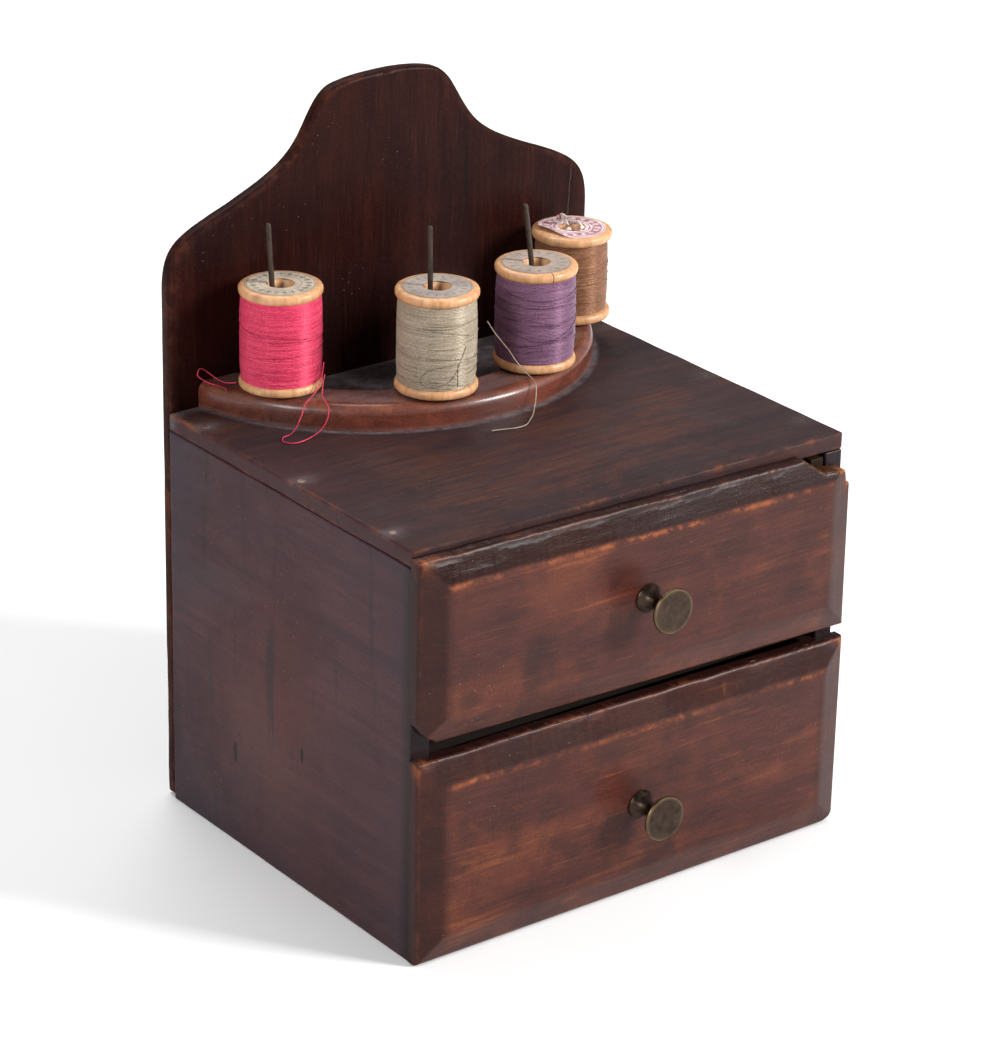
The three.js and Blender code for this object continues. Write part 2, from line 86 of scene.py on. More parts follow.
class Tree:
    """A material's node tree, with short calls for the nodes that the finishes share."""

    def __init__(self, name, roughness=0.5, metallic=0.0, coat=0.0, coat_roughness=0.2,
                 sheen=0.0, specular=0.5):
        self.material = bpy.data.materials.new(name)
        self.material.use_nodes = True
        self.nodes = self.material.node_tree.nodes
        self.links = self.material.node_tree.links
        self.shader = self.nodes["Principled BSDF"]
        self.put("Roughness", roughness)
        self.put("Metallic", metallic)
        self.put("Coat Weight", coat)
        self.put("Coat Roughness", coat_roughness)
        self.put("Sheen Weight", sheen)
        self.put("Specular IOR Level", specular)
        self.place = self.nodes.new("ShaderNodeTexCoord").outputs["Object"]

    def put(self, socket, value):
        self.shader.inputs[socket].default_value = value

    def join(self, value, socket):
        if isinstance(value, bpy.types.NodeSocket):
            self.links.new(value, socket)
        else:
            if socket.type == "RGBA" and len(value) == 3:
                value = (*value, 1.0)
            socket.default_value = value

    def mapped(self, scale, turn=(0, 0, 0), shift=(0, 0, 0), source=None):
        node = self.nodes.new("ShaderNodeMapping")
        self.join(source or self.place, node.inputs["Vector"])
        node.inputs["Scale"].default_value = scale
        node.inputs["Rotation"].default_value = turn
        node.inputs["Location"].default_value = shift
        return node.outputs["Vector"]

    def noise(self, vector, scale, detail=4.0, rough=0.55, distort=0.0):
        node = self.nodes.new("ShaderNodeTexNoise")
        self.join(vector, node.inputs["Vector"])
        node.inputs["Scale"].default_value = scale
        node.inputs["Detail"].default_value = detail
        node.inputs["Roughness"].default_value = rough
        node.inputs["Distortion"].default_value = distort
        return node.outputs["Fac"]

    def wave(self, vector, scale, distort, detail, direction):
        node = self.nodes.new("ShaderNodeTexWave")
        node.bands_direction = direction
        self.join(vector, node.inputs["Vector"])
        node.inputs["Scale"].default_value = scale
        node.inputs["Distortion"].default_value = distort
        node.inputs["Detail"].default_value = detail
        return node.outputs["Fac"]

    def spots(self, vector, scale):
        node = self.nodes.new("ShaderNodeTexVoronoi")
        self.join(vector, node.inputs["Vector"])
        node.inputs["Scale"].default_value = scale
        return node.outputs["Distance"]

    def ramp(self, value, *stops):
        node = self.nodes.new("ShaderNodeValToRGB")
        self.join(value, node.inputs["Fac"])
        band = node.color_ramp
        while len(band.elements) < len(stops):
            band.elements.new(0.5)
        for element, (at, colour) in zip(band.elements, stops):
            element.position = at
            colour = (colour,) * 3 if isinstance(colour, float) else colour
            element.color = (*colour, 1.0)
        return node.outputs["Color"]

    def band(self, value, low, high, out_low=0.0, out_high=1.0):
        node = self.nodes.new("ShaderNodeMapRange")
        node.interpolation_type = "SMOOTHSTEP"
        self.join(value, node.inputs["Value"])
        node.inputs["From Min"].default_value = low
        node.inputs["From Max"].default_value = high
        node.inputs["To Min"].default_value = out_low
        node.inputs["To Max"].default_value = out_high
        return node.outputs["Result"]

    def math(self, kind, first, second=0.0):
        node = self.nodes.new("ShaderNodeMath")
        node.operation = kind
        self.join(first, node.inputs[0])
        self.join(second, node.inputs[1])
        return node.outputs["Value"]

    def length(self, vector):
        node = self.nodes.new("ShaderNodeVectorMath")
        node.operation = "LENGTH"
        self.join(vector, node.inputs[0])
        return node.outputs["Value"]

    def mix(self, share, first, second):
        node = self.nodes.new("ShaderNodeMix")
        node.data_type = "RGBA"
        self.join(share, node.inputs["Factor"])
        self.join(first, node.inputs["A"])
        self.join(second, node.inputs["B"])
        return node.outputs["Result"]

    def field(self, name):
        """A number painted on the piece's points, such as how worn it is there."""
        node = self.nodes.new("ShaderNodeAttribute")
        node.attribute_name = name
        return node.outputs["Fac"]

    def axis(self, letter, source=None):
        node = self.nodes.new("ShaderNodeSeparateXYZ")
        self.join(source or self.place, node.inputs["Vector"])
        return node.outputs[letter]

    def finish(self, colour, rough=None, bump=None, strength=0.3, distance=0.0003):
        self.join(colour, self.shader.inputs["Base Color"])
        if rough is not None:
            self.join(rough, self.shader.inputs["Roughness"])
        if bump is not None:
            node = self.nodes.new("ShaderNodeBump")
            node.inputs["Strength"].default_value = strength
            node.inputs["Distance"].default_value = distance
            self.join(bump, node.inputs["Height"])
            self.join(node.outputs["Normal"], self.shader.inputs["Normal"])
        return self.material


# Grain runs along one axis, so the other two are stretched many times finer.
GRAIN_ALONG = {"X": (1, 16, 16), "Y": (16, 1, 16), "Z": (16, 16, 1)}


def stained_wood(name, light, mid, dark, worn, grain, seed, patches=None, gloss=0.34, coat=0.07,
                 shine=0.12):
    """Old stained and shellacked wood: streaked grain, pores, blotches, worn arrises and dust."""
    t = Tree(name, coat=coat, coat_roughness=0.2, specular=shine)
    stretch = GRAIN_ALONG[grain]
    along = t.mapped(stretch, shift=(seed * 0.37, seed * 0.21, seed * 0.13))
    streak = t.noise(along, 9.0, detail=9.0, rough=0.62, distort=0.9)
    hairs = t.mapped([s * 5.5 if s > 1 else 3.0 for s in stretch], shift=(seed, 0, seed))
    fine = t.noise(hairs, 22.0, 6.0, 0.75)
    pepper = t.noise(t.mapped((1, 1, 1), shift=(seed, seed, 0)), 1900.0, 3.0, 0.7)
    cloud = t.noise(t.mapped((1, 1, 1), shift=(seed, seed * 0.6, 0)), 17.0, 5.0, 0.6, 0.4)
    colour = t.ramp(streak, (0.28, dark), (0.5, mid), (0.72, light))
    colour = t.mix(t.band(cloud, 0.42, 0.66, 0.0, 0.65), colour, dark)
    colour = t.mix(t.band(fine, 0.52, 0.72, 0.0, 0.70), colour, tuple(c * 0.35 for c in dark))
    ragged = t.noise(t.mapped((1, 1, 1), shift=(0, seed, 0)), 210.0, 4.0, 0.65)
    if patches is not None:
        colour = patches(t, colour, ragged)
    colour = t.mix(t.band(fine, 0.46, 0.26, 0.0, 0.35), colour, worn)
    colour = t.mix(t.band(pepper, 0.50, 0.68, 0.0, 0.55), colour, tuple(c * 0.45 for c in dark))
    colour = t.mix(t.band(pepper, 0.42, 0.30, 0.0, 0.22), colour, worn)
    rub = t.math("MULTIPLY", t.field("wear"), t.band(ragged, 0.40, 0.60, 0.05, 1.0))
    chance = t.noise(t.mapped((1, 1, 1), shift=(seed, seed, 0)), 55.0, 4.0, 0.6)
    rub = t.math("MULTIPLY", rub, t.band(chance, 0.38, 0.60, 0.12, 1.0))
    colour = t.mix(rub, colour, worn)
    raw = t.math("MULTIPLY", t.field("raw"), t.band(ragged, 0.3, 0.6, 0.45, 1.0))
    colour = t.mix(raw, colour, (0.40, 0.13, 0.035))
    # This field darkens the wood: partly grime, partly painted shade in the gaps and recesses behind the
    # drawer fronts.
    colour = t.mix(t.field("soot"), colour, tuple(c * 0.30 for c in dark))
    motes = t.spots(t.mapped((1, 1, 1), shift=(seed, 0, 0)), 330.0)
    lint = t.math("MULTIPLY", t.band(motes, 0.085, 0.05), t.band(cloud, 0.52, 0.6))
    colour = t.mix(t.math("MULTIPLY", lint, 0.45), colour, (0.30, 0.26, 0.24))
    haze = t.math("MULTIPLY", t.band(ragged, 0.25, 0.75, 0.35, 1.0), t.field("dust"))
    colour = t.mix(haze, colour, (0.200, 0.180, 0.190))
    rough = t.math("SUBTRACT", t.band(cloud, 0.3, 0.7, gloss - 0.07, gloss + 0.14),
                   t.math("MULTIPLY", t.field("soot"), 0.08))
    rough = t.math("ADD", rough, t.math("MULTIPLY", t.field("wear"), 0.35))
    bump = t.math("ADD", t.math("MULTIPLY", streak, 0.5), t.math("MULTIPLY", fine, 0.7))
    bump = t.math("ADD", bump, t.math("MULTIPLY", pepper, 0.35))
    crazed = t.noise(t.mapped((0.5, 1, 1), shift=(seed, 0, 0)), 520.0, 4.0, 0.55)
    bump = t.math("ADD", bump, t.math("MULTIPLY", crazed, t.math("MULTIPLY", t.field("soot"), 0.9)))
    return t.finish(colour, rough, bump, strength=0.36, distance=0.00025)


def plain_wood(name, light, dark, grain, seed, gloss=0.62):
    """Unpolished drawer lining."""
    t = Tree(name, roughness=gloss, specular=0.1)
    along = t.mapped(GRAIN_ALONG[grain], shift=(seed, seed * 0.3, 0))
    streak = t.noise(along, 12.0, 8.0, 0.62, 0.8)
    rings = t.wave(along, 3.5, 7.0, 4.0, "DIAGONAL")
    colour = t.ramp(streak, (0.3, dark), (0.7, light))
    colour = t.mix(t.band(rings, 0.55, 0.95, 0.0, 0.35), colour, dark)
    stain = t.noise(t.mapped((1, 1, 1)), 20.0, 4.0, 0.6)
    colour = t.mix(t.band(stain, 0.5, 0.72, 0.0, 0.5), colour, tuple(c * 0.45 for c in dark))
    colour = t.mix(t.field("soot"), colour, tuple(c * 0.12 for c in dark))
    return t.finish(colour, None, streak, strength=0.3)


def reel_birch(name, seed, crack=None):
    """Pale turned birch: end grain on the flanges, tool rings, and handling marks."""
    t = Tree(name, roughness=0.42, coat=0.15, coat_roughness=0.3)
    place = t.mapped((1, 1, 1), shift=(seed * 0.11, seed * 0.07, 0))
    grain = t.noise(t.mapped((7, 7, 1), source=place), 60.0, 7.0, 0.6, 0.5)
    turning = t.noise(t.mapped((1, 1, 26), source=place), 90.0, 4.0, 0.6)
    colour = t.ramp(grain, (0.28, (0.42, 0.190, 0.080)), (0.52, (0.61, 0.315, 0.145)),
                    (0.75, (0.74, 0.45, 0.235)))
    colour = t.mix(t.band(turning, 0.55, 0.8, 0.0, 0.35), colour, (0.45, 0.22, 0.08))
    grime = t.noise(place, 140.0, 5.0, 0.6)
    colour = t.mix(t.math("MULTIPLY", t.band(grime, 0.52, 0.72), 0.3), colour, (0.26, 0.15, 0.07))
    colour = t.mix(t.field("soot"), colour, (0.10, 0.055, 0.03))
    if crack is not None:
        centre, turn, top = crack
        x, y = t.math("SUBTRACT", t.axis("X"), centre.x), t.math("SUBTRACT", t.axis("Y"), centre.y)
        off = t.math("SUBTRACT", t.math("MULTIPLY", y, math.cos(turn)), t.math("MULTIPLY", x, math.sin(turn)))
        out = t.math("ADD", t.math("MULTIPLY", x, math.cos(turn)), t.math("MULTIPLY", y, math.sin(turn)))
        line = t.band(t.math("ABSOLUTE", off), 0.28 * MM, 0.10 * MM)
        line = t.math("MULTIPLY", line, t.band(out, 9 * MM, 11 * MM))
        line = t.math("MULTIPLY", line, t.band(t.axis("Z"), top - 4 * MM, top - 3 * MM))
        colour = t.mix(line, colour, (0.035, 0.015, 0.008))
    return t.finish(colour, t.band(grime, 0.3, 0.7, 0.34, 0.55), turning, strength=0.18)


def blend_colours(first, second, share):
    return tuple(p + (q - p) * share for p, q in zip(first, second))


def cotton(name, base, shade, light):
    """Mercerised cotton: each turn of thread is twisted, and turns differ a little in tone."""
    t = Tree(name, roughness=0.32, sheen=0.06, specular=0.85)
    t.put("Specular Tint", (*light, 1.0))
    t.put("Sheen Roughness", 0.35)
    turns = t.noise(t.mapped((1.5, 1.5, 80)), 32.0, 4.0, 0.75)
    twist = t.noise(t.mapped((1, 1, 3.2)), 1300.0, 2.0, 0.6)
    patch = t.noise(t.mapped((1, 1, 2.5)), 90.0, 3.0, 0.5)
    colour = t.ramp(turns, (0.34, blend_colours(base, shade, 0.8)), (0.52, base),
                    (0.70, blend_colours(base, light, 0.6)))
    colour = t.mix(t.band(patch, 0.5, 0.75, 0.0, 0.30), colour, shade)
    colour = t.mix(t.band(twist, 0.48, 0.64, 0.0, 0.45), colour, tuple(c * 0.55 for c in shade))
    colour = t.mix(t.band(twist, 0.42, 0.30, 0.0, 0.45), colour, light)
    colour = t.mix(t.field("soot"), colour, tuple(c * 0.22 for c in shade))
    return t.finish(colour, None, twist, strength=0.5, distance=0.00012)


def old_brass(name):
    """Brass under a brown-green patina, rubbed brighter at the rim."""
    t = Tree(name, roughness=0.36, metallic=1.0)
    cloud = t.noise(t.mapped((1, 1, 1)), 420.0, 6.0, 0.6, 0.2)
    speck = t.noise(t.mapped((1, 1, 1)), 1500.0, 4.0, 0.6)
    colour = t.ramp(cloud, (0.25, (0.030, 0.020, 0.0155)), (0.52, (0.050, 0.0335, 0.024)),
                    (0.8, (0.082, 0.056, 0.036)))
    colour = t.mix(t.band(speck, 0.55, 0.7, 0.0, 0.6), colour, (0.05, 0.042, 0.032))
    colour = t.mix(t.math("MULTIPLY", t.field("wear"), 0.8), colour, (0.30, 0.21, 0.11))
    return t.finish(colour, t.band(cloud, 0.3, 0.7, 0.26, 0.5), speck, strength=0.15, distance=0.0001)


def old_iron(name, pale=1.0):
    """Rusty iron. A pale of more than 1 is iron rubbed bright."""
    t = Tree(name, roughness=0.55, metallic=0.75)
    cloud = t.noise(t.mapped((1, 1, 0.5)), 500.0, 6.0, 0.65, 0.4)
    speck = t.noise(t.mapped((1, 1, 1)), 2600.0, 4.0, 0.6)
    stops = ((0.3, (0.024, 0.018, 0.014)), (0.55, (0.065, 0.046, 0.036)), (0.78, (0.12, 0.07, 0.045)))
    colour = t.ramp(cloud, *((at, tuple(c * pale for c in tone)) for at, tone in stops))
    return t.finish(colour, t.band(cloud, 0.3, 0.7, 0.4, 0.75), speck, strength=0.5, distance=0.0002)


def printed_paper(name, paper, ink, centre, rings, marks, seed, solid=None):
    """A round paper label with ring lines and a band of short plain strokes between them. The rings
    are (radius, half width), the marks (radius, half width, count, share) and solid is a filled ring,
    all in millimetres."""
    t = Tree(name, roughness=0.75, specular=0.25)
    flat = t.mapped((1, 1, 0), shift=(-centre.x, -centre.y, 0))
    radius = t.length(flat)
    fade = t.noise(t.mapped((1, 1, 1), shift=(seed, 0, 0)), 420.0, 5.0, 0.65)
    stain = t.noise(t.mapped((1, 1, 1), shift=(0, seed, 0)), 130.0, 4.0, 0.6)
    colour = t.ramp(stain, (0.3, tuple(c * 0.62 for c in paper)), (0.6, paper),
                    (0.8, tuple(c * 1.12 for c in paper)))
    printed = None
    for at, wide in rings:
        off = t.math("ABSOLUTE", t.math("SUBTRACT", radius, at * MM))
        line = t.band(off, wide * MM, wide * 0.4 * MM)
        printed = line if printed is None else t.math("MAXIMUM", printed, line)
    turn = t.math("ARCTAN2", t.axis("Y", flat), t.axis("X", flat))
    for at, wide, count, share in marks:
        off = t.math("ABSOLUTE", t.math("SUBTRACT", radius, at * MM))
        belt = t.band(off, wide * MM, wide * 0.7 * MM)
        beat = t.math("SINE", t.math("MULTIPLY", turn, float(count)))
        beat = t.band(beat, share, share + 0.25)
        strokes = t.math("MULTIPLY", belt, beat)
        if solid is None:
            printed = t.math("MAXIMUM", printed, strokes)
        else:
            band = t.band(t.math("ABSOLUTE", t.math("SUBTRACT", radius, solid[0] * MM)), solid[1] * MM,
                          (solid[1] - 0.2) * MM)
            printed = t.math("MAXIMUM", printed, t.math("SUBTRACT", band, t.math("MULTIPLY", strokes, 0.8)))
    colour = t.mix(t.math("MULTIPLY", printed, t.band(fade, 0.3, 0.6, 0.25, 0.9)), colour, ink)
    return t.finish(colour, None, fade, strength=0.2, distance=0.0001)


# ---------------------------------------------------------------- mesh tools

def hum(x, y, z, scale, seed=0.0):
    """Smooth noise from -1 to 1, the same on every run."""
    return noise.noise(Vector((x * scale + seed, y * scale - seed * 0.7, z * scale + seed * 1.3)))


def settle(name, mesh, material, body, replaced=(), fields=None, sharp=40.0):
    """Shades a mesh, paints its number fields and hands it to its body as a piece."""
    mesh.shade_smooth()
    mesh.set_sharp_from_angle(angle=math.radians(sharp))
    for key, values in (fields or {}).items():
        layer = mesh.attributes.new(key, "FLOAT", "POINT")
        layer.data.foreach_set("value", np.asarray(values, np.float32))
    mesh.materials.append(material)
    thing = bpy.data.objects.new(name, mesh)
    bpy.context.scene.collection.objects.link(thing)
    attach(thing, body)
    if replaced:
        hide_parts(*replaced)


def grid_faces(rows, columns, wrap_rows=False, wrap_columns=False, start=0):
    """Faces between the points of a grid that are numbered row by row."""
    faces = []
    for i in range(rows if wrap_rows else rows - 1):
        for j in range(columns if wrap_columns else columns - 1):
            a = start + i * columns + j
            b = start + i * columns + (j + 1) % columns
            c = start + ((i + 1) % rows) * columns + (j + 1) % columns
            d = start + ((i + 1) % rows) * columns + j
            faces.append((a, b, c, d))
    return faces


def grid_rim(rows, columns):
    """The numbers of the points round the rim of a grid, in order."""
    rim = [i * columns for i in range(rows)] + [(rows - 1) * columns + j for j in range(1, columns)]
    rim += [i * columns + columns - 1 for i in range(rows - 2, -1, -1)]
    return rim + list(range(columns - 2, 0, -1))


def turned_points(profile, segments, wobble=None):
    """Points of a turned profile of (radius, z), one ring round the Z axis for each of its places."""
    points = []
    for radius, z in profile:
        for k in range(segments):
            angle = 2 * math.pi * k / segments
            r = radius + (wobble(angle, z, radius) if wobble and radius > 0 else 0.0)
            points.append(Vector((r * math.cos(angle), r * math.sin(angle), z)))
    return points


def spaced(low, high, step, edge):
    """Places from low to high, close together near both ends and step apart between."""
    near = [0.0, edge * 0.3, edge * 0.65, edge, edge * 1.6, edge * 2.6]
    inside_low, inside_high = low + near[-1], high - near[-1]
    if inside_high <= inside_low:
        count = 7
        return [low + (high - low) * i / (count - 1) for i in range(count)]
    count = max(1, round((inside_high - inside_low) / step))
    middle = [inside_low + (inside_high - inside_low) * i / count for i in range(count + 1)]
    return [low + n for n in near[:-1]] + middle + [high - n for n in reversed(near[:-1])]


def worn_block(low, high, radius, step, seed, rub=1.0):
    """A board with rounded, unevenly worn arrises: its points, its faces and how worn each point is."""
    axes = [spaced(low[i], high[i], step, min(radius, (high[i] - low[i]) * 0.2)) for i in range(3)]
    points, faces, index = [], [], {}

    def point(i, j, k):
        key = (i, j, k)
        if key not in index:
            index[key] = len(points)
            points.append((axes[0][i], axes[1][j], axes[2][k]))
        return index[key]

    last = [len(a) - 1 for a in axes]
    for j in range(last[1]):
        for k in range(last[2]):
            for i, flip in ((0, True), (last[0], False)):
                quad = [point(i, j, k), point(i, j + 1, k), point(i, j + 1, k + 1), point(i, j, k + 1)]
                faces.append(tuple(reversed(quad)) if flip else tuple(quad))
    for i in range(last[0]):
        for k in range(last[2]):
            for j, flip in ((0, False), (last[1], True)):
                quad = [point(i, j, k), point(i + 1, j, k), point(i + 1, j, k + 1), point(i, j, k + 1)]
                faces.append(tuple(reversed(quad)) if flip else tuple(quad))
    for i in range(last[0]):
        for j in range(last[1]):
            for k, flip in ((0, True), (last[2], False)):
                quad = [point(i, j, k), point(i + 1, j, k), point(i + 1, j + 1, k), point(i, j + 1, k)]
                faces.append(tuple(reversed(quad)) if flip else tuple(quad))
    made, wear = [], []
    for p in points:
        p = Vector(p)
        r = radius * (1.0 + 0.55 * hum(*p, 55.0, seed))
        r = min(r, min(high[i] - low[i] for i in range(3)) * 0.49)
        core = Vector([min(max(p[i], low[i] + r), high[i] - r) for i in range(3)])
        out = p - core
        if out.length > 1e-9:
            p = core + out.normalized() * min(r, out.length)
        ends = sorted(min(p[i] - low[i], high[i] - p[i]) for i in range(3))
        edge = math.exp(-((ends[1] / (radius * 1.3)) ** 2))
        amount = edge * max(0.0, 0.55 + 0.9 * hum(*p, 90.0, seed + 5))
        wear.append(min(1.0, amount * rub))
        inward = (Vector(low) + Vector(high)) / 2 - p
        dent = 0.12 * MM * hum(*p, 38.0, seed + 9)
        shrink = Vector([math.copysign(1, inward[i]) if ends[0] == min(p[i] - low[i], high[i] - p[i]) else 0
                         for i in range(3)])
        made.append(p + shrink * abs(dent))
    return made, faces, wear


def rounded_outline_board(outline, y_front, y_back, radius, steps=4):
    """A board cut to an outline of (x, z) that is the same left and right. Its arrises are rounded.
    The outline's right half runs from the bottom corner up to the middle of the top."""
    half = len(outline)
    columns = 41
    ring = [Vector((x, z)) for x, z in outline]
    normals = []
    for k in range(half):
        before, after = ring[max(k - 1, 0)], ring[min(k + 1, half - 1)]
        along = (after - before).normalized()
        normals.append(Vector((along.y, -along.x)))
    normals[-1] = Vector((0, 1))
    points, faces, wear = [], [], []
    for y, inset, turn in ((y_front, radius, -1), (y_back, radius, 1)):
        for k in range(half):
            edge = ring[k] - normals[k] * inset
            low = max(edge.y, radius)
            for j in range(columns):
                share = 2 * j / (columns - 1) - 1
                bend = 0.00025 * hum(share * edge.x, 0, low, 14.0, 3.0 + turn)
                points.append(Vector((share * max(edge.x, 0.0), y - turn * bend * (1 - share * share), low)))
                rim = min((1 - abs(share)) * max(edge.x, 1e-4), 0.02)
                wear.append(math.exp(-((rim / (1.5 * MM)) ** 2)) * 0.5)
    front, back = 0, half * columns
    faces += [tuple(reversed(f)) for f in grid_faces(half, columns, start=front)]
    faces += grid_faces(half, columns, start=back)
    right = [k * columns + columns - 1 for k in range(half)]
    left = [k * columns for k in range(half)]
    bottom = list(range(columns - 1, -1, -1))
    loop = left + list(reversed(right)) + bottom[1:-1]
    outward = [Vector((-n.x, n.y)) for n in normals] + list(reversed(normals))
    outward += [Vector((0, -1))] * (columns - 2)
    rings = [[front + v for v in loop]]
    for step in range(1, 2 * steps + 2):
        side = step <= steps
        angle = (step / steps if side else (2 * steps + 1 - step) / steps) * math.pi / 2
        new = []
        for v, n in zip(loop, outward):
            base = points[front + v]
            out = radius * math.sin(angle)
            if side:
                y = y_front + radius - radius * math.cos(angle)
            else:
                y = y_back - radius + radius * math.cos(angle)
            nick = 0.3 * radius * max(0.0, hum(base.x, 0, base.z, 70.0, 8.0))
            points.append(Vector((base.x + n.x * (out - nick), y, base.z + n.y * (out - nick))))
            wear.append(min(1.0, 0.35 + 0.8 * max(0.0, hum(base.x, y, base.z, 60.0, 2.0) + 0.4)))
            new.append(len(points) - 1)
        rings.append(new)
    rings.append([back + v for v in loop])
    for a, b in zip(rings, rings[1:]):
        for k in range(len(a)):
            n = (k + 1) % len(a)
            faces.append((a[k], a[n], b[n], b[k]))
    return points, faces, wear


def bezier(p0, p1, p2, p3, count):
    """Points along one curve, its start left out."""
    found = []
    for i in range(1, count + 1):
        t = i / count
        s = 1 - t
        weights = (s ** 3, 3 * s * s * t, 3 * s * t * t, t ** 3)
        found.append(tuple(sum(w * p[a] for w, p in zip(weights, (p0, p1, p2, p3))) for a in range(2)))
    return found


def back_half_outline():
    """The right half of the back board: square shoulder, ogee, then the broad lobe."""
    edge, peak = BACK_HIGH.x / MM, BACK_HIGH.z / MM
    line = [(edge, z) for z in range(0, 192, 6)] + [(edge, 196)]
    line += bezier((edge, 196), (edge, 210), (88, 214), (76, 219), 16)
    line += bezier((76, 219), (60, 226), (46, 230), (38, 240), 18)
    line += bezier((38, 240), (31, 249), (29, 257), (22, 259.6), 18)
    line += bezier((22, 259.6), (15, 261.6), (8, peak), (0, peak), 12)
    return [(x * MM, z * MM) for x, z in line]


def clean(name, points, faces):
    """A mesh with its faces turned outwards."""
    mesh = bpy.data.meshes.new(name)
    mesh.from_pydata([tuple(p) for p in points], [], faces)
    body = bmesh.new()
    body.from_mesh(mesh)
    bmesh.ops.recalc_face_normals(body, faces=body.faces)
    body.to_mesh(mesh)
    body.free()
    return mesh


def closed_piece(name, points, faces, material, body, replaced=(), fields=None, sharp=40.0):
    mesh = clean(name, points, faces)
    settle(name, mesh, material, body, replaced, fields, sharp)


def block_piece(node, material, body, radius, seed, step=5 * MM, rub=1.0, more=None):
    """A worn board in the place of a CAD node."""
    low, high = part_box(node)
    points, faces, wear = worn_block(low, high, radius, step, seed, rub=rub)
    fields = {"wear": wear}
    for key, rule in (more or {}).items():
        fields[key] = [rule(p) for p in points]
    closed_piece(node + "_body", points, faces, material, body, (node,), fields, sharp=50)


# ---------------------------------------------------------------- the case

# Rubbed places on the top: across, back from the front plane, and size in millimetres.
TOP_RUBS = ((-38, 27, 15), (-9, 32, 17), (35, 41, 15), (-48, 53, 13), (-60, 94, 9), (10, 60, 12),
            (62, 60, 11))


def top_patches(t, colour, ragged):
    """Rubbed orange-brown patches in the middle of the top, and dust where the rail and back meet it."""
    near = t.noise(t.mapped((0.7, 1.3, 1), shift=(0.31, 0.77, 0)), 42.0, 6.0, 0.65, 0.5)
    where = t.noise(t.mapped((1, 1, 1), shift=(0.4, 0.1, 0)), 12.0, 2.0, 0.5)
    rubbed = t.math("MULTIPLY", t.band(near, 0.42, 0.62), t.band(where, 0.40, 0.58, 0.12, 0.7))
    for x, y, size in TOP_RUBS:
        spot = t.math("ADD", blot(t, (0.8, 1.5, 0), (x, FRONT_PLANE / MM + y, 0), size),
                      t.math("MULTIPLY", t.math("SUBTRACT", near, 0.5), 5.5))
        rubbed = t.math("MAXIMUM", rubbed, t.band(spot, 1.6, 0.2, 0.0, 0.75))
    streaks = t.noise(t.mapped((3, 40, 40)), 11.0, 6.0, 0.7, 0.3)
    rubbed = t.math("MULTIPLY", rubbed, t.band(streaks, 0.40, 0.60, 0.15, 1.0))
    colour = t.mix(rubbed, colour, (0.086, 0.029, 0.017))
    bloom = t.noise(t.mapped((1, 1, 1), shift=(0.7, 0.2, 0)), 26.0, 5.0, 0.6)
    colour = t.mix(t.band(bloom, 0.54, 0.74, 0.0, 0.35), colour, (0.050, 0.040, 0.043))
    radius = t.length(t.mapped((1, 1, 0), shift=(-RAIL_CENTRE.x, -RAIL_CENTRE.y, 0)))
    foot = t.band(t.math("ABSOLUTE", t.math("SUBTRACT", radius, RAIL_OUTER + 0.4 * MM)), 2.6 * MM, 0.2 * MM)
    foot = t.math("MULTIPLY", foot, t.band(ragged, 0.32, 0.62, 0.25, 0.9))
    bay = t.band(radius, RAIL_INNER + 1 * MM, RAIL_INNER - 3 * MM)
    bay = t.math("MULTIPLY", bay, t.band(ragged, 0.3, 0.7, 0.1, 0.5))
    join_line = t.band(t.axis("Y"), BACK_PLANE - 7 * MM, BACK_PLANE - 1 * MM)
    join_line = t.math("MULTIPLY", join_line, t.band(ragged, 0.3, 0.65, 0.2, 0.8))
    dusty = t.math("MAXIMUM", t.math("MAXIMUM", foot, bay), join_line)
    ends = t.band(t.math("ABSOLUTE", t.axis("X")), TOP_HIGH.x - 1.2 * MM, TOP_HIGH.x - 0.6 * MM)
    colour = t.mix(t.math("MULTIPLY", ends, 0.8), colour, (0.050, 0.022, 0.026))
    return t.mix(dusty, colour, (0.155, 0.135, 0.142))


def side_patches(t, colour, ragged):
    """Grey-blue bloom near the edges, a warm rubbed middle, dark runs and two short splits."""
    middle = (FRONT_PLANE / MM) + 78
    broad = t.noise(t.mapped((1, 1, 0.8), shift=(0.3, 0.9, 0.1)), 24.0, 5.0, 0.6, 0.4)
    uneven = t.math("MULTIPLY", t.math("SUBTRACT", broad, 0.5), 2.2)
    warm = t.math("ADD", blot(t, (0, 1, 0.8), (0, middle, 62), 40), uneven)
    colour = t.mix(t.band(warm, 1.2, 0.1, 0.0, 0.6), colour, (0.090, 0.026, 0.021))
    cool = t.math("ADD", blot(t, (0, 1, 0.95), (0, middle - 5, 70), 72), uneven)
    colour = t.mix(t.band(cool, 0.8, 1.5, 0.0, 0.75), colour, (0.027, 0.018, 0.028))
    runs = t.noise(t.mapped((1, 6, 0.7), shift=(0, 0.17, 0)), 20.0, 4.0, 0.6)
    colour = t.mix(t.band(runs, 0.57, 0.70, 0.0, 0.75), colour, (0.020, 0.012, 0.015))
    smudge = t.noise(t.mapped((1, 1, 1.2), shift=(0, 0.6, 0.3)), 70.0, 5.0, 0.65)
    colour = t.mix(t.band(smudge, 0.55, 0.75, 0.0, 0.55), colour, (0.026, 0.015, 0.018))
    for y, z, size in SIDE_SPLITS:
        split = blot(t, (0, 1, 0.3), (0, FRONT_PLANE / MM + y, z), size)
        split = t.math("ADD", split, t.math("MULTIPLY", ragged, 0.9))
        colour = t.mix(t.band(split, 1.7, 1.1), colour, (0.004, 0.003, 0.003))
    return colour


# Splits in the left side: back from the front plane, up, and half width in millimetres.
SIDE_SPLITS = ((106, 36, 1.2), (64, 52, 0.9))


# Dark bruises on the fronts: across, up and size in millimetres.
BRUISES = ((-26.6, 97, 3.2), (-61, 122, 5.5), (-75, 96, 3.5), (38, 126, 6), (66, 100, 4), (-12, 62, 7),
           (30, 22, 5))


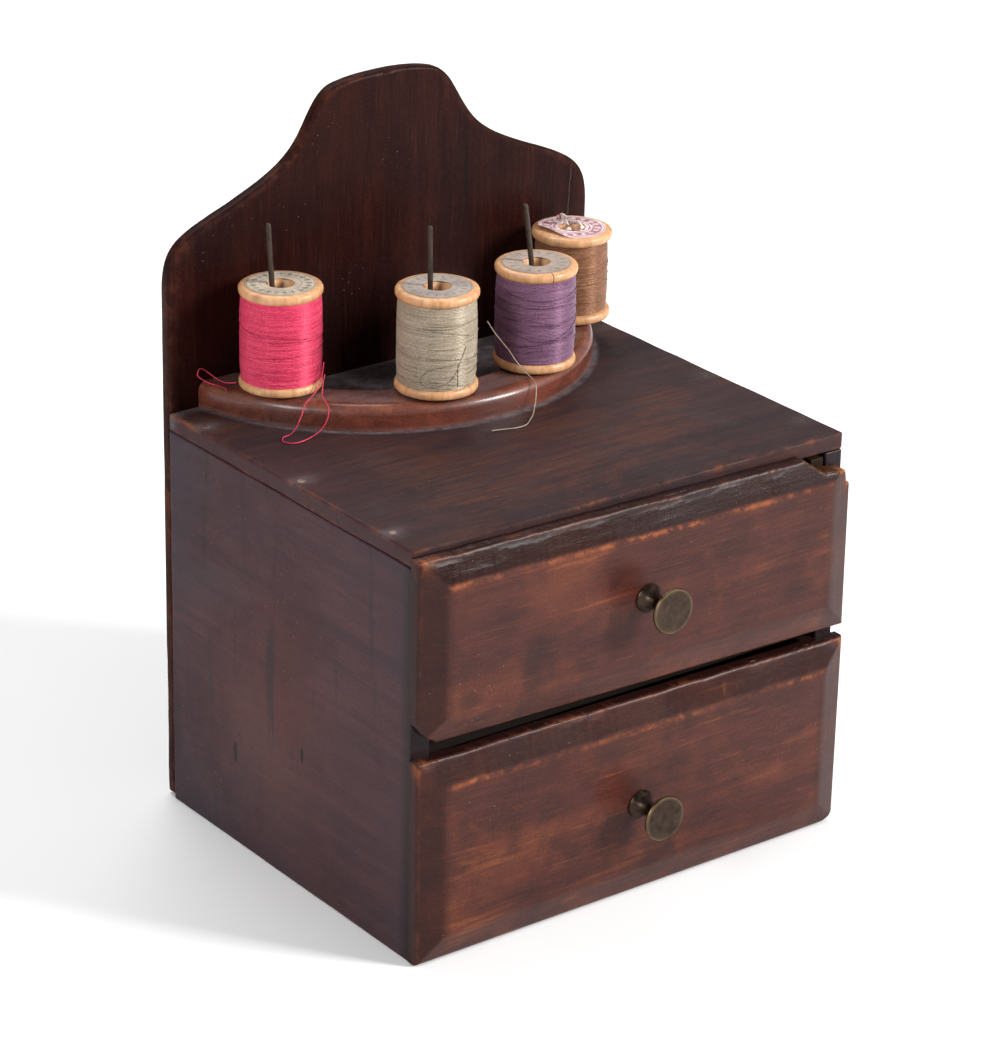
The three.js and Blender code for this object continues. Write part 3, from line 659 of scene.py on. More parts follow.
def blot(t, weight, at, size):
    """How far each place is from a point, counted in sizes."""
    scale = tuple(w / (size * MM) for w in weight)
    return t.length(t.mapped(scale, shift=tuple(-s * a * MM for s, a in zip(scale, at))))


def front_patches(t, colour, _ragged):
    """Soft orange glows where the shellac is thin, fine rubbed lines, bruises and darker end bevels."""
    glow = t.noise(t.mapped((1, 1, 1.5), shift=(0.9, 0.3, 0.2)), 21.0, 4.0, 0.55, 0.3)
    colour = t.mix(t.band(glow, 0.46, 0.68, 0.0, 0.55), colour, (0.135, 0.036, 0.017))
    lines = t.noise(t.mapped((2.5, 40, 46), shift=(0.2, 0, 0.5), turn=(0, 0.03, 0)), 9.0, 7.0, 0.7, 0.3)
    rubbed = t.math("MULTIPLY", t.band(lines, 0.54, 0.70), t.band(glow, 0.42, 0.6, 0.1, 0.7))
    colour = t.mix(rubbed, colour, (0.22, 0.065, 0.024))
    mottle = t.noise(t.mapped((0.8, 1, 1), shift=(0.5, 0.2, 0.7)), 75.0, 5.0, 0.6)
    colour = t.mix(t.band(mottle, 0.50, 0.70, 0.0, 0.6), colour, (0.030, 0.011, 0.010))
    colour = t.mix(t.band(mottle, 0.44, 0.30, 0.0, 0.4), colour, (0.125, 0.034, 0.017))
    for x, z, size in BRUISES:
        spot = blot(t, (0.8, 0, 1.1), (x, 0, z), size)
        spot = t.math("ADD", spot, t.math("MULTIPLY", t.math("SUBTRACT", mottle, 0.5), 4.5))
        colour = t.mix(t.band(spot, 1.8, 0.2, 0.0, 0.45), colour, (0.016, 0.008, 0.009))
    ends = t.band(t.math("ABSOLUTE", t.axis("X")), 80.5 * MM, 83 * MM, 0.0, 0.45)
    colour = t.mix(ends, colour, (0.030, 0.0095, 0.0085))
    bruise = t.noise(t.mapped((1, 1, 0.8), shift=(0.13, 0, 0.4)), 30.0, 4.0, 0.6)
    return t.mix(t.band(bruise, 0.57, 0.72, 0.0, 0.7), colour, (0.020, 0.009, 0.009))


def shade_behind_fronts(point):
    """Painted shade on the end grain and edges just behind the drawer fronts, where they show in the gaps."""
    return 0.9 if point.y < FRONT_PLANE + 2.5 * MM else 0.0


def back_patches(t, colour, ragged):
    """A hair split with a pale lip near the right edge, and a slow change from dark to red-brown."""
    x, z = t.axis("X"), t.axis("Z")
    off = t.math("SUBTRACT", x, t.math("ADD", BACK_SPLIT[0] * MM, t.math("MULTIPLY", z, BACK_SPLIT[1])))
    off = t.math("ADD", off, t.math("MULTIPLY", t.math("SUBTRACT", ragged, 0.5), 1.6 * MM))
    within = t.math("MULTIPLY", t.band(z, BACK_SPLIT[2] * MM, (BACK_SPLIT[2] + 8) * MM),
                    t.band(z, BACK_SPLIT[3] * MM, (BACK_SPLIT[3] - 6) * MM))
    lip = t.band(t.math("ABSOLUTE", t.math("ADD", off, 0.5 * MM)), 0.4 * MM, 0.15 * MM)
    colour = t.mix(t.math("MULTIPLY", t.math("MULTIPLY", lip, within), 0.4), colour, (0.110, 0.068, 0.060))
    split = t.band(t.math("ABSOLUTE", off), 0.35 * MM, 0.12 * MM)
    colour = t.mix(t.math("MULTIPLY", split, within), colour, (0.003, 0.002, 0.002))
    warm = t.noise(t.mapped((1, 1, 0.5), shift=(0.2, 0, 0.6)), 16.0, 4.0, 0.6, 0.3)
    return t.mix(t.band(warm, 0.48, 0.70, 0.0, 0.4), colour, (0.046, 0.0105, 0.0060))


# The split in the back board: across at its foot, lean, low end and high end.
BACK_SPLIT = (72.0, 0.0625, 176, 214)


def make_case(look):
    side_tones = [tuple(c) for c in (look.stain_light, look.stain_mid, look.stain_dark, look.worn_wood)]
    side_wood = stained_wood("side_mahogany", *side_tones, "Y", 4.0, patches=side_patches, gloss=0.38)
    back_wood = stained_wood("back_mahogany", (0.030, 0.0073, 0.0052), (0.019, 0.0047, 0.0038),
                             (0.010, 0.0032, 0.0030), (0.11, 0.034, 0.018), "Z", 1.0, patches=back_patches,
                             gloss=0.30, coat=0.02, shine=0.04)
    top_wood = stained_wood("top_mahogany", (0.046, 0.024, 0.024), (0.035, 0.0195, 0.0215),
                            (0.021, 0.0140, 0.0165), (0.18, 0.062, 0.028), "X", 7.0, patches=top_patches,
                            gloss=0.44, coat=0.0, shine=0.09)
    inner = plain_wood("case_lining", (0.07, 0.04, 0.025), (0.030, 0.018, 0.013), "X", 2.0)
    points, faces, wear = rounded_outline_board(back_half_outline(), BACK_LOW.y, BACK_HIGH.y, look.back_round)
    closed_piece("back_board_body", points, faces, back_wood, "case", ("back_board",),
                 {"wear": [w * 0.55 for w in wear]}, sharp=60)
    for node, seed in (("side_left", 11), ("side_right", 15)):
        block_piece(node, side_wood, "case", 0.7 * MM, seed, rub=0.6, more={"soot": shade_behind_fronts})
    for node, seed in (("bottom_board", 21), ("drawer_divider", 22)):
        block_piece(node, inner, "case", 0.6 * MM, seed, step=12 * MM,
                    more={"soot": shade_behind_fronts})
    nails = [sum(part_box(n), Vector()) / 2 for n in NODES if n.startswith("top_nail")]

    def grey_round_nails(point):
        """Grey patches round the nail heads, most of all on the left."""
        near = min(nails, key=lambda n: (n - point).length)
        away = math.hypot((near.x - point.x) / 5.0, (near.y - point.y) / 3.6) / MM
        return math.exp(-(away ** 2)) * (0.4 if near.x < 0 else 0.15) * (point.z > TOP_Z - 1 * MM)

    block_piece("top_board", top_wood, "case", 0.9 * MM, 25, step=1.6 * MM, rub=1.0,
                more={"dust": grey_round_nails})


# ---------------------------------------------------------------- the rail and its pins

def make_rail():
    """A bow-shaped rail with a rounded polished outer edge, its ends cut to meet the back board."""
    wood = stained_wood("rail_mahogany", (0.225, 0.058, 0.033), (0.145, 0.038, 0.023), (0.056, 0.017, 0.013),
                        (0.26, 0.080, 0.033), "X", 9.0, gloss=0.22, coat=0.45, shine=0.35)
    height = RAIL_HIGH.z - RAIL_LOW.z
    shoulder = RAIL_OUTER - RAIL_ROUND
    arc = [(shoulder + RAIL_ROUND * math.cos(a), height - RAIL_ROUND + RAIL_ROUND * math.sin(a))
           for a in np.linspace(0, math.pi / 2, 8)]
    flat = [(r, height) for r in np.linspace(shoulder - 1.6 * MM, RAIL_INNER + 2 * MM, 6)]
    inner = [(RAIL_INNER + 0.9 * MM, height - 0.15 * MM), (RAIL_INNER + 0.25 * MM, height - 0.7 * MM),
             (RAIL_INNER, height - 1.6 * MM), (RAIL_INNER, 0.0)]
    side = [(RAIL_OUTER, z * height) for z in (0.0, 0.2, 0.4)]
    profile = side + arc + flat + inner
    points, wear, dust = [], [], []
    steps = 150
    reach = BACK_PLANE - 0.3 * MM - RAIL_CENTRE.y
    for s in range(steps + 1):
        for radius, z in profile:
            end = math.asin(max(-1.0, reach / radius))
            angle = -math.pi - end + (math.pi + 2 * end) * s / steps
            x = RAIL_CENTRE.x + radius * math.cos(angle)
            y = RAIL_CENTRE.y + radius * math.sin(angle)
            lump = 0.35 * MM * hum(x, y, 0, 45.0, 4.0) if radius > shoulder - RAIL_ROUND else 0.0
            swell = 0.12 * MM * hum(x, y, z, 60.0, 7.0) if z > height * 0.9 else 0.0
            points.append(Vector((x + lump * math.cos(angle) * 0.5,
                                  min(y + lump * math.sin(angle), BACK_PLANE - 0.2 * MM), TOP_Z + z + swell)))
            crest = math.exp(-(((radius - RAIL_OUTER + 1.2 * MM) / (1.3 * MM)) ** 2)) * (z > height * 0.7)
            wear.append(0.55 * crest + (0.35 if z < 0.3 * MM else 0.0))
            on_top = z >= height - 0.01 * MM and radius < shoulder
            dust.append(0.34 if on_top else 0.30 if z < 0.6 * MM else 0.0)
    rows, columns = steps + 1, len(profile)
    faces = grid_faces(rows, columns, wrap_columns=True)
    faces += [tuple(range(columns)), tuple(reversed(range((rows - 1) * columns, rows * columns)))]
    closed_piece("reel_rail_body", points, faces, wood, "case", ("reel_rail",),
                 {"wear": wear, "dust": dust}, sharp=50)


def tube(path, radius, sides):
    """A tube with closed ends along points, its radius a number or one number for each point."""
    points = []
    path = [Vector(p) for p in path]
    last = len(path) - 1
    side = None
    for i, at in enumerate(path):
        along = (path[min(i + 1, last)] - path[max(i - 1, 0)]).normalized()
        if side is None:
            side = along.cross(Vector((0.3, 0.7, 0.64))).normalized()
        side = (side - along * side.dot(along)).normalized()
        up = along.cross(side)
        r = radius[i] if isinstance(radius, list) else radius
        for k in range(sides):
            angle = 2 * math.pi * k / sides
            points.append(at + side * (r * math.cos(angle)) + up * (r * math.sin(angle)))
    faces = grid_faces(len(path), sides, wrap_columns=True)
    faces += [tuple(reversed(range(sides))), tuple(range(last * sides, (last + 1) * sides))]
    return points, faces


def node_ends(node):
    """The middle points of a straight CAD pin's lower and upper ends."""
    points = sorted((v.co.copy() for v in NODES[node].data.vertices), key=lambda p: p.z)
    low = [p for p in points if p.z - points[0].z < 0.6 * MM]
    high = [p for p in points if points[-1].z - p.z < 0.6 * MM]
    return sum(low, Vector()) / len(low), sum(high, Vector()) / len(high)


def make_pins():
    iron = old_iron("old_iron")
    shares = [i * 0.985 / 28 for i in range(29)] + [0.991, 0.996, 1.0]
    for number in range(1, REEL_COUNT + 1):
        node = f"reel_pin_{number}"
        foot, head = node_ends(node)
        path = []
        for share in shares:
            at = foot.lerp(head, share)
            bend = Vector((hum(0, 0, at.z, 60.0, number), hum(0, 1, at.z, 60.0, number), 0))
            path.append(at + bend * (0.10 * MM))

        def girth(share, number=number):
            blunt = 1.0 if share < 0.99 else 0.96 if share < 0.995 else 0.88 if share < 0.999 else 0.66
            return (0.98 + 0.06 * hum(0, 0, share, 14.0, number)) * MM * blunt

        points, faces = tube(path, [girth(share) for share in shares], sides=14)
        closed_piece(node + "_wire", points, faces, iron, "case", (node,), sharp=50)


def make_nails():
    iron, rubbed = bpy.data.materials["old_iron"], old_iron("rubbed_iron", 4.0)
    for node in sorted(n for n in NODES if n.startswith(("top_nail", "back_brad"))):
        low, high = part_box(node)
        back = node.startswith("back")
        radius = (high.x - low.x) / 2
        middle = (low + high) / 2
        dome = [(0.0, -6 * MM), (radius * 0.4, -5 * MM), (radius * 0.45, -0.5 * MM),
                (radius * 0.9, -0.35 * MM), (radius, -0.1 * MM), (radius * 0.86, 0.03 * MM),
                (radius * 0.4, 0.06 * MM), (0.0, 0.02 * MM)]

        def hammered(angle, _, r, middle=middle):
            return r * 0.08 * hum(math.cos(angle), math.sin(angle), r * 300, 1.5, middle.x)

        points = []
        for p in turned_points(dome, 20, hammered):
            if back:
                points.append(Vector((middle.x + p.x, high.y + p.z, middle.z + p.y)))
            else:
                points.append(Vector((middle.x + p.x, middle.y + p.y, high.z + p.z)))
        faces = grid_faces(len(dome), 20, wrap_columns=True)
        mesh = clean(node, points, faces)
        weld(mesh)
        metal = rubbed if node.startswith("top_nail_left") else iron
        settle(node + "_head", mesh, metal, "case", (node,))


def weld(mesh):
    """Joins points that share a place, such as the ends of a turned profile on its axis."""
    body = bmesh.new()
    body.from_mesh(mesh)
    bmesh.ops.remove_doubles(body, verts=body.verts, dist=1e-7)
    bmesh.ops.recalc_face_normals(body, faces=body.faces)
    body.to_mesh(mesh)
    body.free()


# ---------------------------------------------------------------- the drawers

def polyline(x, places):
    """The height of a broken line at x."""
    return float(np.interp(x, [p[0] for p in places], [p[1] for p in places]))


# Corners of each front, in millimetres across and up, and the lines of its breaks. Then how dark its
# bevels are made, how chipped its top bevel is, and its scratches: across, low end, high end and half width.
FRONTS = {
    "upper_drawer": {
        "bottom": ((-94, 83), (94, 79.2)),
        "top": ((-94, 150.2), (93.4, 147.6)),
        "top_break": ((70.5, 148), (72, 147), (76, 143.9), (80, 141.5), (85, 141.2), (90, 140.4),
                      (90.9, 134.9), (94, 134.2)),
        "bottom_break": ((-94, 91.3), (-93.4, 91), (-90.5, 86), (-86.4, 83.6), (-86, 82.8)),
        "soot": 1.0,
        "chips": 0.75,
        "scratches": ((-61, 143.2, 145.5, 0.35), (12, 138, 139.2, 0.3)),
    },
    "lower_drawer": {
        "bottom": ((-93.4, 0.6), (94.4, 0.6)),
        "top": ((-94, 77.2), (94.4, 74.8)),
        "top_break": None,
        "bottom_break": ((89.8, 0.6), (91, 1.6), (93.6, 3.4), (94.6, 4.2)),
        "soot": 0.75,
        "chips": 0.1,
        "scratches": ((37.6, 67.5, 72.5, 0.55), (43.5, 68.5, 70, 0.4)),
    },
}
def make_front(name, look, wood):
    """A fielded drawer front: a dense face with bevels, rubbed arrises, a wavy top edge and its breaks."""
    spec = FRONTS[name]
    seed = 3.0 if name == "upper_drawer" else 8.0
    (bx0, bz0), (bx1, bz1) = spec["bottom"]
    (tx0, tz0), (tx1, tz1) = spec["top"]
    shares = sorted(set(spaced(0.0, 1.0, 1 / 230, 0.004)
                        + [(x + 94) / 188 for x in (70.6, 72, 76, 80, 85, 90, 90.9, -90.5, -86.4, -86)]))
    rises = spaced(0.0, 1.0, 1 / 110, 0.008)
    front, wear, soot, raw, behind = [], [], [], [], []
    bevel = look.bevel_width
    for s in shares:
        for v in rises:
            low_z = bz0 + (bz1 - bz0) * s
            high_z = tz0 + (tz1 - tz0) * s
            x0 = bx0 + (tx0 - bx0) * v
            x1 = bx1 + (tx1 - bx1) * v
            x = x0 + (x1 - x0) * s
            full_low, full_high = low_z, high_z
            broken = 0.0
            if spec["top_break"] and x > spec["top_break"][0][0]:
                high_z = min(high_z, polyline(x, spec["top_break"]) + 0.5 * hum(x, 0, 0, 0.9, 5.0))
                broken = 1.0
            if spec["bottom_break"] and spec["bottom_break"][0][0] <= x <= spec["bottom_break"][-1][0]:
                low_z = max(low_z, polyline(x, spec["bottom_break"]) + 0.3 * hum(x, 0, 0, 1.1, 2.0))
            high_z -= 0.55 * max(0.0, hum(x, 0, 0, 0.085, seed)) + 0.18 * abs(hum(x, 0, 0, 0.5, seed))
            z = low_z + (high_z - low_z) * v
            wave = 0.7 * hum(x, 0, z, 0.07, seed + 2) + 0.3 * hum(x, 0, 0, 0.6, seed)
            sides = {"left": x - x0, "right": x1 - x, "bottom": z - full_low, "top": full_high - z + wave}
            near = min(sides, key=sides.get)
            away = max(sides[near], 0.0) * MM
            share = away / bevel
            depth = FRONT_EDGE + (FRONT_THICK - FRONT_EDGE) * (1 - soft_floor(1 - share))
            rim = 1.1 * MM
            if away < rim:
                depth -= 0.75 * (rim - math.sqrt(max(rim * rim - (rim - away) ** 2, 0.0)))
            to_break = min((high_z - z) * MM, (z - low_z) * MM, away)
            depth -= 0.35 * MM * math.exp(-((to_break / (0.35 * MM)) ** 2))
            depth += 0.12 * MM * hum(x, 0, z, 0.05, seed + 6) * (share > 0.6)
            chipped = 0.0
            if near == "top":
                ledge = (2.6 + 1.4 * hum(x, 0, 0, 0.10, seed + 4) + 0.7 * hum(x, 0, 0, 0.45, seed + 5)) * MM
                patchy = min(1.0, max(0.0, 2.4 * hum(x, 0, 0, 0.05, seed + 7) + spec["chips"]))
                chipped = patchy * min(1.0, max(0.0, (ledge - away) / (0.45 * MM)))
                depth -= 0.15 * MM * chipped
            front.append(Vector((x * MM, FRONT_PLANE - depth, z * MM)))
            arris = math.exp(-(((away - bevel - 0.2 * MM) / (0.9 * MM)) ** 2))
            outer = math.exp(-(((away - 0.75 * MM) / (0.45 * MM)) ** 2))
            strong = {"top": 1.0, "left": 0.06, "right": 0.04, "bottom": 0.04}[near]
            outer *= {"top": 0.6, "left": 0.35, "right": 0.3, "bottom": 0.25}[near]
            corner = math.hypot(x - x0, z - high_z) if x < 0 else math.hypot(x - x1, z - high_z)
            rubbed = 0.9 * math.exp(-((corner / 5.0) ** 2))
            wear.append(min(1.0, arris * strong + outer + rubbed + 0.6 * chipped))
            # The bevels are darkened by side: most on the top, then the left, less on the right and hardly on
            # the bottom.
            dark = {"top": 0.85, "left": 0.60, "right": 0.25, "bottom": 0.05}[near] * spec["soot"]
            inside = 1.0 if share < 0.85 else max(0.0, (1.0 - share) / 0.15)
            dark = dark * inside * (1 - 0.5 * outer) * (1 - 0.8 * math.exp(-((corner / 5.0) ** 2)))
            # Painted shade: the top face of the front and the edges of its back, seen in the narrow gaps
            # round it, are darkened, and the rest of its back a little.
            soot.append(max(dark, 0.92 * (near == "top" and away < 0.3 * MM and not broken)))
            behind.append(0.9 if min(away, (high_z - z) * MM, (z - low_z) * MM) < 2 * MM else 0.25)
            raw.append(max(broken * math.exp(-(((high_z - z) * MM / (0.7 * MM)) ** 2)), scratch(spec, x, z)))
    rows, columns = len(shares), len(rises)
    count = len(front)
    rear = [Vector((p.x, FRONT_PLANE, p.z)) for p in front]
    faces = grid_faces(rows, columns) + [tuple(reversed(f)) for f in grid_faces(rows, columns, start=count)]
    loop = grid_rim(rows, columns)
    for k, a in enumerate(loop):
        b = loop[(k + 1) % len(loop)]
        faces.append((a, b, b + count, a + count))
    fields = {"wear": wear + [0.0] * count, "soot": soot + behind, "raw": raw + raw}
    closed_piece(f"{name}_front_body", front + rear, faces, wood, name,
                 (f"{name}_front",), fields, sharp=48)


def scratch(spec, x, z):
    """How bare the wood is in the front's short upright scratches."""
    bare = 0.0
    for at, low, high, wide in spec["scratches"]:
        within = min(1.0, max(0.0, min(z - low, high - z) / 0.8))
        bare = max(bare, 0.55 * within * math.exp(-(((x - at - 0.06 * (z - low)) / wide) ** 2)))
    return bare


def soft_floor(value, width=0.10):
    """The larger of a value and nothing, with the corner eased."""
    return 0.5 * (value + math.sqrt(value * value + width * width)) if value > -1 else 0.0


def make_knob(name, brass):
    """A turned knob: a stem with a base flange, and a shallow disc with a rubbed rim."""
    low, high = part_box(f"{name}_knob")
    face = FRONT_THICK
    reach = FRONT_PLANE - low.y
    disc = (high.x - low.x) / 2
    centre = (low + high) / 2
    stem = [(1.8, 0.1), (5.1, 0.1), (5.25, 0.5), (5.0, 1.0), (4.1, 1.9), (3.2, 3.2), (2.6, 4.8), (2.4, 6.4),
            (2.7, 8.0), (3.6, 9.7), (5.2, 11.2)]
    rim = [(0.9, 1.9), (0.15, 1.4), (0.0, 1.0), (0.05, 0.55), (0.35, 0.2), (0.9, 0.08), (1.6, 0.14)]
    outline = [(0.0, -4 * MM), (1.8 * MM, -4 * MM)]
    outline += [(radius * MM, face + out * MM) for radius, out in stem]
    outline += [(disc - inset * MM, reach - back * MM) for inset, back in rim]
    outline += [(disc * 0.6, reach - 0.2 * MM), (disc * 0.3, reach - 0.12 * MM), (0.0, reach - 0.1 * MM)]
    segments = 72
    points = []
    wear = []
    for p in turned_points(outline, segments):
        points.append(Vector((centre.x + p.x, FRONT_PLANE - p.z, centre.z + p.y)))
        to_rim = abs(math.hypot(p.x, p.y) - disc + 0.2 * MM)
        wear.append(max(0.0, 1 - to_rim / (0.9 * MM)) * (0.55 + 0.45 * hum(p.x, p.y, 0, 300.0)))
    mesh = clean(name, points, grid_faces(len(outline), segments, wrap_columns=True))
    layer = mesh.attributes.new("wear", "FLOAT", "POINT")
    layer.data.foreach_set("value", np.asarray(wear, np.float32))
    weld(mesh)
    settle(f"{name}_knob_turned", mesh, brass, name, (f"{name}_knob",), sharp=35)


def make_drawers(look):
    front_wood = stained_wood("front_mahogany", (0.080, 0.022, 0.0155), (0.060, 0.017, 0.013),
                              (0.038, 0.0115, 0.010), (0.26, 0.072, 0.024), "X", 5.0, patches=front_patches,
                              gloss=0.27, coat=0.08)
    pale, deep = (0.150, 0.072, 0.036), (0.070, 0.031, 0.016)
    lining = {grain: plain_wood("drawer_lining_" + grain, pale, deep, grain, 6.0) for grain in ("X", "Y")}
    brass = old_brass("old_brass")
    for name in ("upper_drawer", "lower_drawer"):
        make_front(name, look, front_wood)
        make_knob(name, brass)
        for part in ("side_left", "side_right", "back", "floor"):
            wood = lining["Y" if part.startswith("side") else "X"]
            block_piece(f"{name}_{part}", wood, name, 0.5 * MM, len(part), step=12 * MM,
                        more={"soot": shade_behind_fronts})
        nut = NODES[f"{name}_knob_nut"]
        nut.data.materials.clear()
        nut.data.materials.append(brass)


# ---------------------------------------------------------------- the reels

# Each reel's cotton, its crossing strands, and the paper, ink, rings and marks of its labels.
REEL_LOOKS = {
    1: {"cotton": "pink", "shade": (0.30, 0.012, 0.035), "light": (0.85, 0.12, 0.20), "strands": 9,
        "paper": (0.50, 0.41, 0.32), "ink": (0.12, 0.115, 0.10), "rings": ((12.0, 0.28), (7.4, 0.22)),
        "marks": ((9.8, 1.5, 21, 0.25), (9.8, 0.7, 47, 0.1))},
    2: {"cotton": "olive", "shade": (0.15, 0.118, 0.078), "light": (0.54, 0.47, 0.37), "strands": 11,
        "paper": (0.37, 0.31, 0.27), "ink": (0.19, 0.16, 0.14), "rings": ((12.0, 0.25), (7.2, 0.2)),
        "marks": ((9.6, 1.2, 19, 0.45),)},
    3: {"cotton": "purple", "shade": (0.060, 0.020, 0.045), "light": (0.30, 0.15, 0.24), "strands": 20,
        "paper": (0.39, 0.31, 0.26), "ink": (0.20, 0.155, 0.125), "rings": ((12.0, 0.25), (7.6, 0.2)),
        "marks": ((9.8, 1.3, 17, 0.35),)},
    4: {"cotton": "brown", "shade": (0.12, 0.050, 0.022), "light": (0.42, 0.23, 0.13), "strands": 13,
        "paper": (0.76, 0.63, 0.63), "ink": (0.27, 0.06, 0.095), "rings": ((11.9, 0.22), (6.6, 0.5)),
        "marks": ((9.4, 1.25, 17, 0.1),), "solid": (9.4, 1.9)},
}

# Strands laid over two of the windings: (degrees round, share of the height) along each one,
# then its radius and how dark it is.
LAID_STRANDS = {
    2: [(((-72, 0.33), (-90, 0.335), (-108, 0.315), (-128, 0.29), (-143, 0.22), (-150, 0.13), (-143, 0.07),
          (-125, 0.07), (-108, 0.13), (-98, 0.22), (-90, 0.36), (-80, 0.52)), 0.15 * MM, 0.4),
        (((-94, 0.32), (-94.5, 0.2), (-93, 0.05)), 0.15 * MM, 0.3),
        (((-100, 0.16), (-116, 0.10), (-137, 0.05), (-158, 0.02)), 0.15 * MM, 0.1)],
    3: [(((-175, 0.86), (-140, 0.80), (-100, 0.79), (-40, 0.82)), 0.18 * MM, 0.6),
        (((-170, 0.40), (-120, 0.30), (-80, 0.36), (-30, 0.50)), 0.18 * MM, 0.4),
        (((-160, 0.22), (-110, 0.28), (-60, 0.33)), 0.18 * MM, 0.5)],
}


def reel_place(number):
    """The middle of a reel's foot, its height and its radius."""
    low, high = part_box(f"reel_{number}_wood")
    return Vector(((low.x + high.x) / 2, (low.y + high.y) / 2, low.z)), high.z - low.z, (high.x - low.x) / 2


def make_reel_wood(number, wood):
    centre, height, radius = reel_place(number)
    rim = [(2.6, 0.0), (1.1, 0.06), (0.4, 0.35), (0.05, 0.95), (0.0, 1.6), (0.05, 2.3), (0.35, 2.95)]
    lower = [(REEL_HOLE + 0.7 * MM, 0.0), (REEL_HOLE + 2.2 * MM, 0.0)]
    lower += [(radius - inset * MM, up * MM) for inset, up in rim]
    lower += [(radius - 0.9 * MM, REEL_FLANGE), (REEL_CORE, REEL_FLANGE + 0.3 * MM)]
    upper = [(r, height - z) for r, z in reversed(lower)]
    bore = [(REEL_HOLE, z) for z in (height - 0.6 * MM, height * 0.75, height * 0.5, height * 0.25, 0.6 * MM)]
    profile = lower + upper + bore
    segments = 96

    def handled(angle, z, r):
        worn = 0.10 * MM * hum(math.cos(angle), math.sin(angle), z * 40, 2.2, number * 3.1)
        return worn if r > 10 * MM else 0.0

    points = [centre + p for p in turned_points(profile, segments, handled)]
    soot = []
    for p in points:
        away = math.hypot(p.x - centre.x, p.y - centre.y)
        inside = away < REEL_HOLE + 0.5 * MM and 1 * MM < p.z - centre.z < height - 1 * MM
        # Darkens the inside of the bore.
        soot.append(0.85 if inside else 0.0)
    faces = grid_faces(len(profile), segments, wrap_rows=True, wrap_columns=True)
    closed_piece(f"reel_{number}_turned", points, faces, wood, f"reel_{number}",
                 (f"reel_{number}_wood",), {"soot": soot}, sharp=55)


def winding_radius(number, angle, z, low, high, full):
    """The wound thread's surface: rounded towards the flanges, with a ridge for each turn."""
    share = (z - low) / (high - low)
    barrel = 1 - 0.035 * abs(2 * share - 1) ** 3.2
    phase = z / THREAD_PITCH + angle / (2 * math.pi)
    ridge = 0.075 * MM * math.cos(2 * math.pi * phase)
    layer = 0.10 * MM * hum(0.5 * math.cos(angle), 0.5 * math.sin(angle), z * 420, 1.0, number * 2.7)
    slack = 0.16 * MM * hum(math.cos(angle), math.sin(angle), z * 60, 0.9, number)
    return full * barrel - 0.12 * MM + ridge + layer + slack


def make_winding(number, material, strands):
    """Fine helical ridges, plus the strands that cross them."""
    low_corner, high_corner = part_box(f"reel_{number}_thread")
    centre, _, _ = reel_place(number)
    low, high = low_corner.z - 0.25 * MM, high_corner.z + 0.25 * MM
    full = (high_corner.x - low_corner.x) / 2
    core = REEL_CORE + 0.3 * MM
    rows = 420
    segments = 96
    points, soot = [], []
    for i in range(rows):
        z = low + (high - low) * i / (rows - 1)
        for k in range(segments):
            angle = 2 * math.pi * k / segments
            r = winding_radius(number, angle, z, low, high, full)
            points.append(Vector((centre.x + r * math.cos(angle), centre.y + r * math.sin(angle), z)))
            soot.append(0.0)
    for z in (high, low):
        for k in range(segments):
            angle = 2 * math.pi * k / segments
            points.append(Vector((centre.x + core * math.cos(angle), centre.y + core * math.sin(angle), z)))
            # Darkens the rings where the winding meets the flanges.
            soot.append(0.8)
    faces = grid_faces(rows + 2, segments, wrap_rows=True, wrap_columns=True)
    for path_degrees, thick, dark in strands:
        path = []
        for degrees, share, _ in smooth_path([(d, v * 100, 0) for d, v in path_degrees], 9):
            angle, z = math.radians(degrees), low + share / 100 * (high - low)
            r = winding_radius(number, angle, z, low, high, full) + thick * 0.8
            path.append((centre.x + r * math.cos(angle), centre.y + r * math.sin(angle), z))
        start = len(points)
        strand_points, strand_faces = tube(path, thick, sides=6)
        points += strand_points
        faces += [tuple(v + start for v in f) for f in strand_faces]
        soot += [dark] * len(strand_points)
    closed_piece(f"reel_{number}_winding", points, faces, material, f"reel_{number}",
                 (f"reel_{number}_thread",), {"soot": soot}, sharp=80)


def crossing_strands(number, count):
    """Strands that ran across the others when the reel was last used, some of them dark."""
    luck = random.Random(40 + number)
    strands = []
    for _ in range(count):
        start = luck.uniform(-250, 0)
        reach = luck.uniform(60, 170)
        low = luck.uniform(0.06, 0.8)
        rise = luck.uniform(-0.16, 0.16)
        path = [(start + reach * i / 4,
                 min(max(low + rise * i / 4 + luck.uniform(-0.012, 0.012), 0.03), 0.97)) for i in range(5)]
        strands.append((path, luck.uniform(0.11, 0.16) * MM, luck.choice((0.0, 0.0, 0.45))))
    return strands


# Half the turn that the straight tear across the last label takes up.
LABEL_TEAR = math.radians(36)


